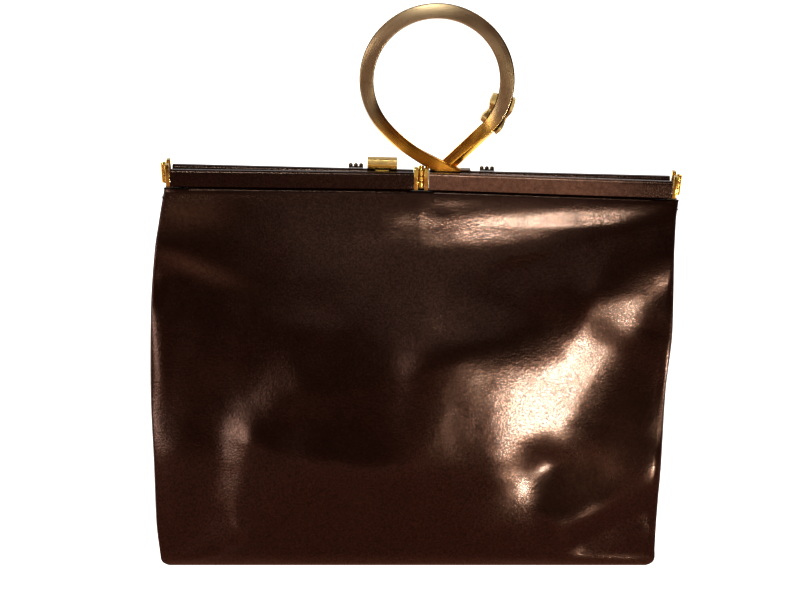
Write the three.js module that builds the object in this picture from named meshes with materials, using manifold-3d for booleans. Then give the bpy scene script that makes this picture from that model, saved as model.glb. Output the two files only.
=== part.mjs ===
// A soft leather handbag on a hinged four-bar frame, with a ring handle and a lever clasp.
// Millimetres, +Z up. The origin is the middle of the flat base, and the front faces -Y.
import * as THREE from 'three';
import { mergeVertices } from 'three/addons/utils/BufferGeometryUtils.js';
import Module from 'manifold-3d';

const wasm = await Module();
wasm.setup();

const { degToRad, lerp, clamp, smoothstep } = THREE.MathUtils;

// Gap between two pieces that meet
const GAP = 0.3;

// The frame: four bars between two end hinges. Its coordinates start at its middle, level with the bars' tops.
const FRAME = { span: 305, x: 6.8, top: 235.5, tiltDeg: 1.4 };
const BAR = { depth: 5.5, height: 10, topRound: 1.6, bottomRound: 0.5, grooveDepth: 6 };
// Where the bars' centre lines lie in depth: at the end hinges, and at the middle hinges
const BAR_LINE = { end: 7.25, frontMiddle: 0.6, backMiddle: 7.25 };
const BAR_ENDS = { fromMiddleHinge: 4.7, fromEndHinge: 4.45 };

// Barrel hinges, upright, each with three knuckles on a pin with two domed heads
const HINGE = { top: 2.8, bottom: -10, radius: 1.7, bore: 1.0, pin: 0.7, head: 1.2, knuckles: 3 };
const HINGE_PLATE = { thickness: 2.2, overBar: 0.2, below: 0.2, strap: 1.3 };
// The plates of the hinge under the handle end lower
const UNDER_HANDLE_TOP = 0.2;
// The end hinges lean outwards at their tops, so their plates stand further from the bars
const END_HINGE = { leanDeg: 4.5, plateGap: 0.8 };

// The leather. Its edges stand back from the seams, more on the inside, where two walls meet at a slant.
const LEATHER = 1.6;
const EDGE = { outer: 0.4, inner: 1.2 };
const BASE = { thickness: 2, roll: 7, rollSteps: 4 };
const TUCK = { from: 224.2, to: 230.3, hingeHalfWidth: 5.2, edge: 2.6, steps: 2, creep: 0.12 };
const KINK_HEIGHTS = { from: 120, to: 222.5 };
const WALL_STEPS = 17;
const CORNER_TURNS = [0, 0.3, 0.48, 0.66, 0.83];
const FLAT_STEPS = { front: 20, back: 16 };
const GUSSET_STEPS = 8;
// The share of a gusset's width beside each seam that isn't folded in
const GUSSET_MARGIN = 0.22;

// Sections of the bag by height. left, right: the side seams. face: how far the middle of a panel stands from
// the mid plane. seam: the same for its side seams. cornerLeft, cornerRight: how wide the turn into the side is.
// fold: how far a gusset's middle is folded in.
const SECTIONS = [
  { height: 7, left: -149.8, right: 146.9, face: 38, seam: 38, cornerLeft: 18, cornerRight: 14, fold: 0 },
  { height: 30, left: -152.2, right: 147.8, face: 39.3, seam: 37.3, cornerLeft: 30, cornerRight: 18, fold: 9 },
  { height: 64, left: -152.9, right: 149.9, face: 38, seam: 36, cornerLeft: 34, cornerRight: 20, fold: 19 },
  { height: 110, left: -154.4, right: 152.2, face: 31.5, seam: 29.5, cornerLeft: 34, cornerRight: 20, fold: 25 },
  { height: 150, left: -153.8, right: 156, face: 26.9, seam: 24.9, cornerLeft: 30, cornerRight: 18, fold: 23 },
  { height: 190, left: -150.9, right: 156.4, face: 21, seam: 19.4, cornerLeft: 22, cornerRight: 16, fold: 14 },
  { height: 204, left: -148.7, right: 157, face: 16.8, seam: 15.2, cornerLeft: 18, cornerRight: 14, fold: 11 },
  { height: 213, left: -147.2, right: 157.6, face: 13.4, seam: 12.2, cornerLeft: 15, cornerRight: 14, fold: 9.5 },
  { height: 222.5, left: -145.5, right: 159.1, face: 8.05, seam: 8.05, cornerLeft: 14, cornerRight: 14, fold: 7 },
];

// Folds and dents of the panels: a line from one point to another on the panel (upwards or to the right), how far
// the leather is lifted there (a dent is below zero), and how far it fades to the line's left and right and ends
const FRONT_FOLDS = [
  { name: 'middle belly', x1: 44, height1: 63, x2: 51, height2: 131, lift: 1.2,
    left: 80, right: 28, ends: 20 },
  { name: 'slope of the right ridge', x1: 81, height1: 72, x2: 115, height2: 135, lift: -3.5,
    left: 26, right: 21, ends: 24 },
  { name: 'right hollow', x1: 88, height1: 62, x2: 104, height2: 66, lift: -3,
    left: 15, right: 24, ends: 18 },
  { name: 'right corner crease', x1: 92, height1: 27, x2: 150, height2: 60, lift: 2.4,
    left: 17, right: 9, ends: 10 },
  { name: 'hollow under the crease', x1: 104, height1: 18, x2: 140, height2: 36, lift: -1.8,
    left: 9, right: 9, ends: 10 },
  { name: 'left upright ridge', x1: -107, height1: 20, x2: -94, height2: 76, lift: 2.5,
    left: 13, right: 26, ends: 14 },
  { name: 'top of the left ridge', x1: -93, height1: 87, x2: -67, height2: 117, lift: 1.4,
    left: 18, right: 14, ends: 15 },
  { name: 'left bottom corner', x1: -144, height1: -3, x2: -101, height2: 22, lift: 2.3,
    left: 10, right: 8, ends: 8 },
  { name: 'left shoulder hollow', x1: -141, height1: 172, x2: -114, height2: 166, lift: -2.2,
    left: 12, right: 19, ends: 18 },
  { name: 'pull below the right bar', x1: 63, height1: 183, x2: 147, height2: 210, lift: -1.1,
    left: 8, right: 15, ends: 12 },
  { name: 'right shoulder hollow', x1: 146, height1: 164, x2: 163, height2: 173, lift: -2.2,
    left: 14, right: 19, ends: 24 },
  { name: 'right shoulder', x1: 109, height1: 162, x2: 160, height2: 142, lift: 1.7,
    left: 23, right: 21, ends: 11 },
  { name: 'right of the belly', x1: 5, height1: 68, x2: 14, height2: 140, lift: 3.2,
    left: 18, right: 24, ends: 33 },
  { name: 'left of the belly', x1: -30, height1: 47, x2: -25, height2: 59, lift: 4.2,
    left: 29, right: 21, ends: 18 },
  { name: 'hollow by the right corner', x1: 128, height1: 17, x2: 108, height2: 76, lift: -1.6,
    left: 19, right: 19, ends: 26 },
  { name: 'top of the belly', x1: -47, height1: 105, x2: 26, height2: 125, lift: 4,
    left: 22, right: 49, ends: 39 },
  { name: 'left hollow', x1: -88, height1: 169, x2: -55, height2: 161, lift: -1.3,
    left: 20, right: 15, ends: 17 },
  { name: 'swell below the right bar', x1: 41, height1: 188, x2: 122, height2: 207, lift: 1.6,
    left: 17, right: 17, ends: 25 },
  { name: 'hollow below the left bar', x1: -125, height1: 186, x2: -35, height2: 196, lift: -1.9,
    left: 18, right: 17, ends: 22 },
  { name: 'swell beside the left ridge', x1: -92, height1: 30, x2: -60, height2: 66, lift: 3.1,
    left: 23, right: 21, ends: 17 },
  { name: 'swell at the foot', x1: 44, height1: 22, x2: 80, height2: -12, lift: 2.2,
    left: 24, right: 10, ends: 23 },
  { name: 'hollow beside the right ridge', x1: 120, height1: 91, x2: 141, height2: 146, lift: -2.6,
    left: 17, right: 19, ends: 12 },
];
const BACK_FOLDS = [
  { name: 'slanting ridge', x1: -84, height1: 60, x2: -118, height2: 150, lift: 3.5,
    left: 20, right: 16, ends: 18 },
  { name: 'hollow beside it', x1: -104, height1: 52, x2: -120, height2: 78, lift: -4.5,
    left: 18, right: 18, ends: 18 },
  { name: 'shoulder wrinkle', x1: 96, height1: 176, x2: 138, height2: 188, lift: 1.8,
    left: 11, right: 9, ends: 11 },
  { name: 'upright ridge', x1: 98, height1: 28, x2: 90, height2: 96, lift: 2.4,
    left: 15, right: 12, ends: 15 },
  { name: 'corner hollow', x1: 116, height1: 44, x2: 132, height2: 26, lift: -3,
    left: 14, right: 14, ends: 14 },
];
// The folds fade out towards the base, the bars and the side seams
const FOLD_FADE = { base: [3, 10], bars: [206, 221], seamTurn: 0.75 };

// The handle: a ring whose ends run on as two arms, a straight right one and a bent left one, which cross just
// above the frame
const RING = { x: 7.8, y: 7.4, height: 54, radius: 41.6, leaveRightDeg: -45, leaveLeftDeg: 222 };
const RIGHT_ARM = 36.9;
const LEFT_ARM = { endX: 14.5, endHeight: -56.2, endDeg: -24, bend: 20 };
const LEFT_TIP = 15.5;
const RING_CHAMFER = 0.9;
const RING_STEPS = 64;
// The ring's bar along its length, from the right arm's foot to the left arm's tip
const RING_BAR = [
  { at: 0, width: 6.9, depth: 6, twistDeg: -48, shift: 1.5 },
  { at: 0.08, width: 7.4, depth: 5.6, twistDeg: -42, shift: 1.5 },
  { at: 0.16, width: 8.4, depth: 5, twistDeg: -14, shift: 1.3 },
  { at: 0.24, width: 8.8, depth: 5, twistDeg: 0, shift: 0.9 },
  { at: 0.36, width: 8.9, depth: 5, twistDeg: 10, shift: 0.48 },
  { at: 0.47, width: 9, depth: 5, twistDeg: 17, shift: 0.1 },
  { at: 0.6, width: 8.9, depth: 5, twistDeg: 12, shift: -0.35 },
  { at: 0.7, width: 8.5, depth: 5, twistDeg: 0, shift: -0.69 },
  { at: 0.78, width: 7.8, depth: 5, twistDeg: -18, shift: -0.95 },
  { at: 0.85, width: 7.2, depth: 5, twistDeg: -24, shift: -1.2 },
  { at: 0.9, width: 7.4, depth: 5, twistDeg: -8, shift: -1.4 },
  { at: 0.94, width: 7.6, depth: 5, twistDeg: 0, shift: -1.5 },
  { at: 1, width: 7.6, depth: 5, twistDeg: 0, shift: -1.5 },
];
const FOOT_PLATE = { from: -2.6, to: 21.5, front: 4.3, back: 10.9, thickness: 0.9 };

// The clip on the ring's right arm: a channel that wraps the bar from behind, waisted at its middle
const CLIP_STEPS = 12;
const CLIP = [
  { angleDeg: -12, inner: 2.6, outer: 1.7, reach: 1.6 },
  { angleDeg: -20, inner: 3.2, outer: 1.9, reach: 2.4 },
  { angleDeg: -28, inner: 1.6, outer: 1.1, reach: -0.4 },
  { angleDeg: -36, inner: 2.7, outer: 1.9, reach: 2.2 },
  { angleDeg: -41, inner: 2.0, outer: 1.5, reach: 1.2 },
];
const CLIP_BACK = { gap: 1.6, thickness: 1.2 };

// The clasp on the back left bar: a plinth with two ears, a hollow lever on a pin, and the catch it hooks behind
const CLASP = { x: -23.3, width: 17.7, wall: 0.9, front: 2.6, back: 10, top: 6.8, noseBottom: 0.4 };
const CLASP_LEVER_BOTTOM = 2.5;
const CLASP_PLINTH = { top: 2.1, width: 17.1, front: 4.5 };
const CLASP_PIN = { y: 8.9, z: 4.5, radius: 0.7, bore: 1.0 };
const CLASP_EAR = { thickness: 1.2, radius: 1.15 };
const CATCH = { width: 8, shelfTop: -0.7, thickness: 0.8, lipFront: 3.7, lipBack: 4.2, lipTop: 1.8, drop: 5 };

// Rows of three beads on the back bars
const BEADS = { fromMiddle: 39, count: 3, radius: 1.25, pitch: 3.1, y: 8.6, strip: 0.7, sink: 0.5 };

const MATERIALS = {
  leather: new THREE.MeshStandardMaterial({ color: 0x301409, roughness: 0.34, metalness: 0 }),
  barLeather: new THREE.MeshStandardMaterial({ color: 0x240d08, roughness: 0.38, metalness: 0 }),
  brass: new THREE.MeshStandardMaterial({ color: 0xc99a55, roughness: 0.26, metalness: 1 }),
  ringBrass: new THREE.MeshStandardMaterial({ color: 0xb98d5c, roughness: 0.3, metalness: 1 }),
  bronze: new THREE.MeshStandardMaterial({ color: 0x3a2717, roughness: 0.42, metalness: 1 }),
};

// Facets round a small cylinder
const ROUND = 14;

// Shared shape helpers

// Reads one column of a table at any place along its key column: smooth, and never past its neighbours
function columnAt(table, key, column, at) {
  const last = table.length - 1;
  if (at <= table[0][key]) return table[0][column];
  if (at >= table[last][key]) return table[last][column];
  let row = 0;
  while (at > table[row + 1][key]) row += 1;
  const rise = (i) => (table[i + 1][column] - table[i][column]) / (table[i + 1][key] - table[i][key]);
  const slope = (i) => {
    if (i === 0) return rise(0);
    if (i === last) return rise(last - 1);
    const before = rise(i - 1);
    const after = rise(i);
    return before * after <= 0 ? 0 : (2 * before * after) / (before + after);
  };
  const span = table[row + 1][key] - table[row][key];
  const t = (at - table[row][key]) / span;
  const keep = (1 + 2 * t) * (1 - t) ** 2;
  return keep * table[row][column] + (1 - keep) * table[row + 1][column]
    + span * t * (1 - t) * ((1 - t) * slope(row) - t * slope(row + 1));
}

// A geometry from corner points and triangles, turned so that its faces point outwards
function closedGeometry(points, triangles) {
  let volume = 0;
  for (const [a, b, c] of triangles) {
    volume += points[a].dot(new THREE.Vector3().crossVectors(points[b], points[c]));
  }
  const index = triangles.flatMap(([a, b, c]) => (volume > 0 ? [a, b, c] : [a, c, b]));
  const geometry = new THREE.BufferGeometry().setFromPoints(points);
  geometry.setIndex(index);
  geometry.computeVertexNormals();
  return geometry;
}

// A solid through a row of like outlines, capped at both ends
function loft(rings) {
  const sides = rings[0].points.length;
  const points = rings.flatMap((ring) => ring.points);
  const triangles = [];
  for (let i = 0; i < rings.length - 1; i += 1) {
    for (let j = 0; j < sides; j += 1) {
      const a = i * sides + j;
      const b = i * sides + ((j + 1) % sides);
      triangles.push([a, b, b + sides], [a, b + sides, a + sides]);
    }
  }
  const cap = THREE.ShapeUtils.triangulateShape(rings[0].outline, []);
  const end = (rings.length - 1) * sides;
  for (const [a, b, c] of cap) {
    triangles.push([a, c, b], [end + a, end + b, end + c]);
  }
  return closedGeometry(points, triangles);
}

// A thin wall between an outer and an inner grid of points
function wallGeometry(outer, inner) {
  const rows = outer.length;
  const columns = outer[0].length;
  const points = [...outer.flat(), ...inner.flat()];
  const at = (side, i, j) => side * rows * columns + i * columns + j;
  const triangles = [];
  const quad = (a, b, c, d) => triangles.push([a, b, c], [a, c, d]);
  for (let i = 0; i < rows - 1; i += 1) {
    for (let j = 0; j < columns - 1; j += 1) {
      quad(at(0, i, j), at(0, i, j + 1), at(0, i + 1, j + 1), at(0, i + 1, j));
      quad(at(1, i, j), at(1, i + 1, j), at(1, i + 1, j + 1), at(1, i, j + 1));
    }
  }
  for (let j = 0; j < columns - 1; j += 1) {
    quad(at(0, 0, j), at(1, 0, j), at(1, 0, j + 1), at(0, 0, j + 1));
    quad(at(0, rows - 1, j), at(0, rows - 1, j + 1), at(1, rows - 1, j + 1), at(1, rows - 1, j));
  }
  for (let i = 0; i < rows - 1; i += 1) {
    quad(at(0, i, 0), at(0, i + 1, 0), at(1, i + 1, 0), at(1, i, 0));
    quad(at(0, i, columns - 1), at(1, i, columns - 1), at(1, i + 1, columns - 1), at(0, i + 1, columns - 1));
  }
  return closedGeometry(points, triangles);
}

function solidOf(geometry) {
  const bare = geometry.clone();
  bare.deleteAttribute('normal');
  bare.deleteAttribute('uv');
  const merged = mergeVertices(bare, 1e-4);
  return new wasm.Manifold(new wasm.Mesh({
    numProp: 3,
    vertProperties: new Float32Array(merged.attributes.position.array),
    triVerts: new Uint32Array(merged.index.array),
  }));
}

function geometryOf(solid) {
  const mesh = solid.getMesh();
  const geometry = new THREE.BufferGeometry();
  geometry.setAttribute('position', new THREE.Float32BufferAttribute(mesh.vertProperties, mesh.numProp));
  geometry.setIndex(new THREE.Uint32BufferAttribute(mesh.triVerts, 1));
  geometry.computeVertexNormals();
  return geometry;
}

const joined = (geometries) => geometries.map(solidOf).reduce((sum, next) => sum.add(next));
const without = (solid, geometries) => geometries.map(solidOf).reduce((rest, next) => rest.subtract(next), solid);

function boxBetween(low, high) {
  const size = high.map((value, axis) => value - low[axis]);
  const middle = high.map((value, axis) => (value + low[axis]) / 2);
  return new THREE.BoxGeometry(...size).translate(...middle);
}

function uprightCylinder(radius, from, to) {
  const cylinder = new THREE.CylinderGeometry(radius, radius, to - from, ROUND).rotateX(Math.PI / 2);
  return cylinder.translate(0, 0, (from + to) / 2);
}

function cylinderAlongX(radius, from, to, y, z) {
  const cylinder = new THREE.CylinderGeometry(radius, radius, to - from, ROUND).rotateZ(Math.PI / 2);
  return cylinder.translate((from + to) / 2, y, z);
}

// An outline drawn in Y and Z, run along X
function runAlongX(outline, from, to) {
  const shape = new THREE.ExtrudeGeometry(outline, { depth: to - from, bevelEnabled: false, curveSegments: 4 });
  const turn = new THREE.Matrix4().makeBasis(
    new THREE.Vector3(0, 1, 0), new THREE.Vector3(0, 0, 1), new THREE.Vector3(1, 0, 0));
  return shape.applyMatrix4(turn).translate(from, 0, 0);
}

function pieceMesh(name, geometry, material) {
  const mesh = new THREE.Mesh(geometry, material);
  mesh.name = name;
  return mesh;
}

// The leather bag

const BARS_UNDERSIDE = FRAME.top - BAR.height;
const TILT = Math.tan(degToRad(FRAME.tiltDeg));

// The frame leans down to the right, and the leather under it leans with it, less and less towards the base
const risenTo = (x, height) => height * (1 - ((x - FRAME.x) * TILT) / BARS_UNDERSIDE);

// The front bars' middle is pushed in, and takes the top of the front panel with it
function frontKink(x, height) {
  const across = clamp(1 - Math.abs(x - FRAME.x) / (FRAME.span / 2), 0, 1);
  return (BAR_LINE.end + BAR_LINE.frontMiddle) * across * smoothstep(height, KINK_HEIGHTS.from, KINK_HEIGHTS.to);
}

function sectionAt(row) {
  const at = (column) => columnAt(SECTIONS, 'height', column, row.height);
  return {
    left: at('left') + row.inset,
    right: at('right') - row.inset,
    face: at('face') - row.inset,
    seam: at('seam') - row.inset,
    cornerLeft: at('cornerLeft'),
    cornerRight: at('cornerRight'),
    fold: at('fold'),
  };
}

// Rows of the walls: round the bottom edge, then up to just under the bars
const WALL_ROWS = [];
for (let i = 0; i < BASE.rollSteps; i += 1) {
  const turn = (i / BASE.rollSteps) * (Math.PI / 2);
  WALL_ROWS.push({ height: GAP + BASE.roll * (1 - Math.cos(turn)), inset: BASE.roll * (1 - Math.sin(turn)) });
}
for (let i = 0; i <= WALL_STEPS; i += 1) {
  WALL_ROWS.push({ height: lerp(GAP + BASE.roll, KINK_HEIGHTS.to, i / WALL_STEPS), inset: 0 });
}
// Rows of the panels above those: the strip that is tucked into the bars' grooves
const TUCK_ROWS = [{ height: TUCK.from, inset: 0, tuck: 0 }];
for (let i = 1; i <= TUCK.steps; i += 1) {
  TUCK_ROWS.push({ height: TUCK.from, inset: 0, tuck: i / TUCK.steps });
}
const PANEL_ROWS = [...WALL_ROWS, ...TUCK_ROWS];

// Columns of a panel: round the left corner, along the flat stretch, round the right corner.
// Extra columns bound the tucked strip beside the middle hinge and at both ends.
function panelColumns(flatSteps) {
  const columns = [];
  for (const t of CORNER_TURNS) columns.push({ zone: 'left', t });
  const flat = [];
  for (let i = 0; i <= flatSteps; i += 1) flat.push(i / flatSteps);
  const top = SECTIONS[SECTIONS.length - 1];
  const flatLength = top.right - top.cornerRight - top.left - top.cornerLeft;
  for (const notch of [TUCK.hingeHalfWidth, TUCK.hingeHalfWidth + TUCK.edge]) {
    flat.push(0.5 - notch / flatLength, 0.5 + notch / flatLength);
  }
  flat.push(TUCK.edge / flatLength, 1 - TUCK.edge / flatLength);
  flat.sort((a, b) => a - b);
  for (const t of flat) columns.push({ zone: 'flat', t });
  for (const t of [...CORNER_TURNS].reverse()) columns.push({ zone: 'right', t });
  return columns;
}

function tuckHeight(column, x, row) {
  const fromHinge = Math.abs(x - FRAME.x);
  const clearOfEnds = column.t > 0 && column.t < 1;
  const held = column.zone === 'flat' && clearOfEnds && fromHinge > TUCK.hingeHalfWidth + TUCK.edge / 2;
  return held ? lerp(TUCK.from, TUCK.to, row.tuck) : TUCK.from + TUCK.creep * row.tuck;
}

// A point of the front (side -1) or back (side +1) panel, before its folds
function panelPoint(side, column, row) {
  const section = sectionAt(row);
  const turn = column.zone === 'flat' ? 1 : Math.sin((column.t * Math.PI) / 2);
  const inwards = 1 - Math.cos((column.t * Math.PI) / 2);
  const flatFrom = section.left + section.cornerLeft;
  const flatTo = section.right - section.cornerRight;
  const x = {
    left: section.left + section.cornerLeft * inwards,
    flat: lerp(flatFrom, flatTo, column.t),
    right: section.right - section.cornerRight * inwards,
  }[column.zone];
  const height = row.tuck === undefined ? row.height : tuckHeight(column, x, row);
  const depth = lerp(section.seam, section.face, turn);
  const kink = side < 0 ? frontKink(x, height) : 0;
  return new THREE.Vector3(x, side * depth + kink, risenTo(x, height));
}

// How far the folds lift the leather at one place on a panel
function foldLift(folds, x, height) {
  const place = new THREE.Vector2(x, height);
  let lift = 0;
  for (const fold of folds) {
    const start = new THREE.Vector2(fold.x1, fold.height1);
    const run = new THREE.Vector2(fold.x2, fold.height2).sub(start);
    const length = run.length();
    const away = place.clone().sub(start);
    const along = away.dot(run) / length;
    const left = run.cross(away) / length;
    const past = Math.max(-along, along - length, 0);
    const width = left > 0 ? fold.left : fold.right;
    lift += fold.lift * Math.exp(-((left / width) ** 2) - (past / fold.ends) ** 2);
  }
  return lift;
}

function foldFade(column, row) {
  const fromSeam = column.zone === 'flat' ? 1 : smoothstep(column.t, 0, FOLD_FADE.seamTurn);
  const fromBase = smoothstep(row.height, ...FOLD_FADE.base);
  const fromBars = 1 - smoothstep(row.height, ...FOLD_FADE.bars);
  return fromSeam * fromBase * fromBars;
}

// Normals of a grid of points, on the side that faces away from the bag
function gridNormals(grid, facing) {
  const rows = grid.length - 1;
  const columns = grid[0].length - 1;
  return grid.map((line, i) => line.map((point, j) => {
    const along = line[Math.min(j + 1, columns)].clone().sub(line[Math.max(j - 1, 0)]);
    const up = grid[Math.min(i + 1, rows)][j].clone().sub(grid[Math.max(i - 1, 0)][j]);
    return along.cross(up).normalize().multiplyScalar(facing);
  }));
}

function panelGrid(side, flatSteps, folds) {
  const columns = panelColumns(flatSteps);
  const plain = PANEL_ROWS.map((row) => columns.map((column) => panelPoint(side, column, row)));
  const normals = gridNormals(plain, -side);
  return plain.map((line, i) => line.map((point, j) => {
    const lift = foldFade(columns[j], PANEL_ROWS[i]) * foldLift(folds, point.x, PANEL_ROWS[i].height);
    return point.clone().addScaledVector(normals[i][j], lift);
  }));
}

// A gusset (side -1 left, +1 right) runs from the front seam, folded in, to the back seam
function gussetGrid(side) {
  return WALL_ROWS.map((row) => {
    const section = sectionAt(row);
    const line = [];
    for (let j = 0; j <= GUSSET_STEPS; j += 1) {
      const t = j / GUSSET_STEPS;
      const seam = side < 0 ? section.left : section.right;
      const folded = smoothstep(Math.min(t, 1 - t), GUSSET_MARGIN, 0.5);
      const x = seam - side * section.fold * folded;
      const y = lerp(-section.seam, section.seam, t);
      line.push(new THREE.Vector3(x, y, risenTo(seam, row.height)));
    }
    return line;
  });
}

// Normals that meet at a seam share a mitre, so that both walls end on the same plane
function mitre(first, second) {
  return first.clone().add(second).divideScalar(1 + Math.max(first.dot(second), -0.4));
}

// Gives a grid its thickness. Its border is drawn back a little from the seams.
function leatherWall(grid, normals, hasTopSeam) {
  const rows = grid.length - 1;
  const columns = grid[0].length - 1;
  const drawnBack = (i, j, distance) => {
    const shift = new THREE.Vector3();
    const towards = (k, m) => grid[k][m].clone().sub(grid[i][j]).setLength(distance);
    if (j === 0) shift.add(towards(i, 1));
    if (j === columns) shift.add(towards(i, columns - 1));
    if (i === 0) shift.add(towards(1, j));
    if (i === rows && hasTopSeam) shift.add(towards(rows - 1, j));
    return shift;
  };
  const outer = grid.map((line, i) => line.map((point, j) => point.clone().add(drawnBack(i, j, EDGE.outer))));
  const inner = grid.map((line, i) => line.map(
    (point, j) => point.clone().add(drawnBack(i, j, EDGE.inner)).addScaledVector(normals[i][j], -LEATHER)));
  return wallGeometry(outer, inner);
}

function buildBag() {
  const bag = new THREE.Group();
  const grids = {
    front_panel: panelGrid(-1, FLAT_STEPS.front, FRONT_FOLDS),
    back_panel: panelGrid(1, FLAT_STEPS.back, BACK_FOLDS),
    gusset_left: gussetGrid(-1),
    gusset_right: gussetGrid(1),
  };
  const facing = { front_panel: 1, back_panel: -1, gusset_left: -1, gusset_right: 1 };
  const normals = {};
  for (const name of Object.keys(grids)) {
    normals[name] = gridNormals(grids[name], facing[name]);
    normals[name][0].forEach((normal) => normal.set(0, 0, -1));
  }
  WALL_ROWS.forEach((row, i) => {
    for (const panel of ['front_panel', 'back_panel']) {
      for (const gusset of ['gusset_left', 'gusset_right']) {
        const panelEnd = gusset === 'gusset_left' ? 0 : grids[panel][i].length - 1;
        const gussetEnd = panel === 'front_panel' ? 0 : GUSSET_STEPS;
        const shared = mitre(normals[panel][i][panelEnd], normals[gusset][i][gussetEnd]);
        normals[panel][i][panelEnd] = shared;
        normals[gusset][i][gussetEnd] = shared;
      }
    }
  });
  for (const name of Object.keys(grids)) {
    bag.add(pieceMesh(name, leatherWall(grids[name], normals[name], name.startsWith('gusset')), MATERIALS.leather));
  }
  const edge = sectionAt(WALL_ROWS[0]);
  const base = boxBetween(
    [edge.left + GAP / 4, -edge.seam + GAP / 4, 0],
    [edge.right - GAP / 4, edge.seam - GAP / 4, BASE.thickness]);
  bag.add(pieceMesh('base_panel', base, MATERIALS.leather));
  return bag;
}

// The frame

function barOutline() {
  const half = BAR.depth / 2;
  const groove = LEATHER / 2 + GAP;
  const outline = new THREE.Shape();
  outline.moveTo(-groove, -BAR.height);
  outline.lineTo(-groove, -BAR.height + BAR.grooveDepth);
  outline.lineTo(groove, -BAR.height + BAR.grooveDepth);
  outline.lineTo(groove, -BAR.height);
  outline.lineTo(half - BAR.bottomRound, -BAR.height);
  outline.absarc(half - BAR.bottomRound, -BAR.height + BAR.bottomRound, BAR.bottomRound, -Math.PI / 2, 0);
  outline.absarc(half - BAR.topRound, -BAR.topRound, BAR.topRound, 0, Math.PI / 2);
  outline.absarc(-half + BAR.topRound, -BAR.topRound, BAR.topRound, Math.PI / 2, Math.PI);
  outline.absarc(-half + BAR.bottomRound, -BAR.height + BAR.bottomRound, BAR.bottomRound, Math.PI, 1.5 * Math.PI);
  return outline;
}

// The heights between which each knuckle of a hinge stands
function knuckleSpans() {
  const low = HINGE.bottom + HINGE.head + GAP;
  const high = HINGE.top - HINGE.head - GAP;
  const tall = (high - low - GAP * (HINGE.knuckles - 1)) / HINGE.knuckles;
  return Array.from({ length: HINGE.knuckles }, (_, i) => {
    const from = low + i * (tall + GAP);
    return { from, to: from + tall };
  });
}

// A hinge leaf about the upright axis through the origin: a plate on the bar's end, a strap from there to the
// axis, and its own knuckles. It stays clear of the other leaf's knuckles.
function hingeLeaf(plate, plateAt, owns) {
  const side = new THREE.Vector2(-plateAt.y, plateAt.x).setLength(HINGE_PLATE.strap / 2);
  const strapOutline = new THREE.Shape([
    new THREE.Vector2(side.x, side.y),
    new THREE.Vector2(-side.x, -side.y),
    new THREE.Vector2(plateAt.x - side.x, plateAt.y - side.y),
    new THREE.Vector2(plateAt.x + side.x, plateAt.y + side.y),
  ]);
  const spans = knuckleSpans();
  const low = spans[0].from;
  const high = spans[spans.length - 1].to;
  const strap = new THREE.ExtrudeGeometry(strapOutline, { depth: high - low, bevelEnabled: false });
  strap.translate(0, 0, low);
  const others = spans.filter((span, i) => !owns.includes(i));
  const clear = others.map((span) => uprightCylinder(HINGE.radius + GAP, span.from - GAP, span.to + GAP));
  const own = spans.filter((span, i) => owns.includes(i));
  const knuckles = own.map((span) => uprightCylinder(HINGE.radius, span.from, span.to));
  const leaf = without(joined([plate, strap]), clear).add(joined(knuckles));
  return geometryOf(without(leaf, [uprightCylinder(HINGE.bore, HINGE.bottom, HINGE.top)]));
}

function hingePin() {
  const { top, bottom, head, pin, radius } = HINGE;
  const profile = [
    [0, bottom], [0.6 * radius, bottom + 0.12 * head], [radius, bottom + 0.6 * head], [radius, bottom + head],
    [pin, bottom + head], [pin, top - head], [radius, top - head], [radius, top - 0.6 * head],
    [0.6 * radius, top - 0.12 * head], [0, top],
  ];
  const points = profile.map(([r, z]) => new THREE.Vector2(r, z));
  return new THREE.LatheGeometry(points, ROUND).rotateX(Math.PI / 2);
}

// The plate on the end of a bar, in the bar's own coordinates
function hingePlate(from, side, top) {
  const half = BAR.depth / 2 + HINGE_PLATE.overBar;
  const near = side * from;
  const far = side * (from + HINGE_PLATE.thickness);
  return boxBetween(
    [Math.min(near, far), -half, -BAR.height - HINGE_PLATE.below],
    [Math.max(near, far), half, top]);
}

// Puts a piece of an end hinge at its end of the frame, turned about the hinge's middle
function leaningOut(mesh, side) {
  const middle = (HINGE.top + HINGE.bottom) / 2;
  mesh.geometry.translate(0, 0, -middle);
  mesh.position.set((side * FRAME.span) / 2, 0, middle);
  mesh.rotation.y = side * degToRad(END_HINGE.leanDeg);
  return mesh;
}

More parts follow.
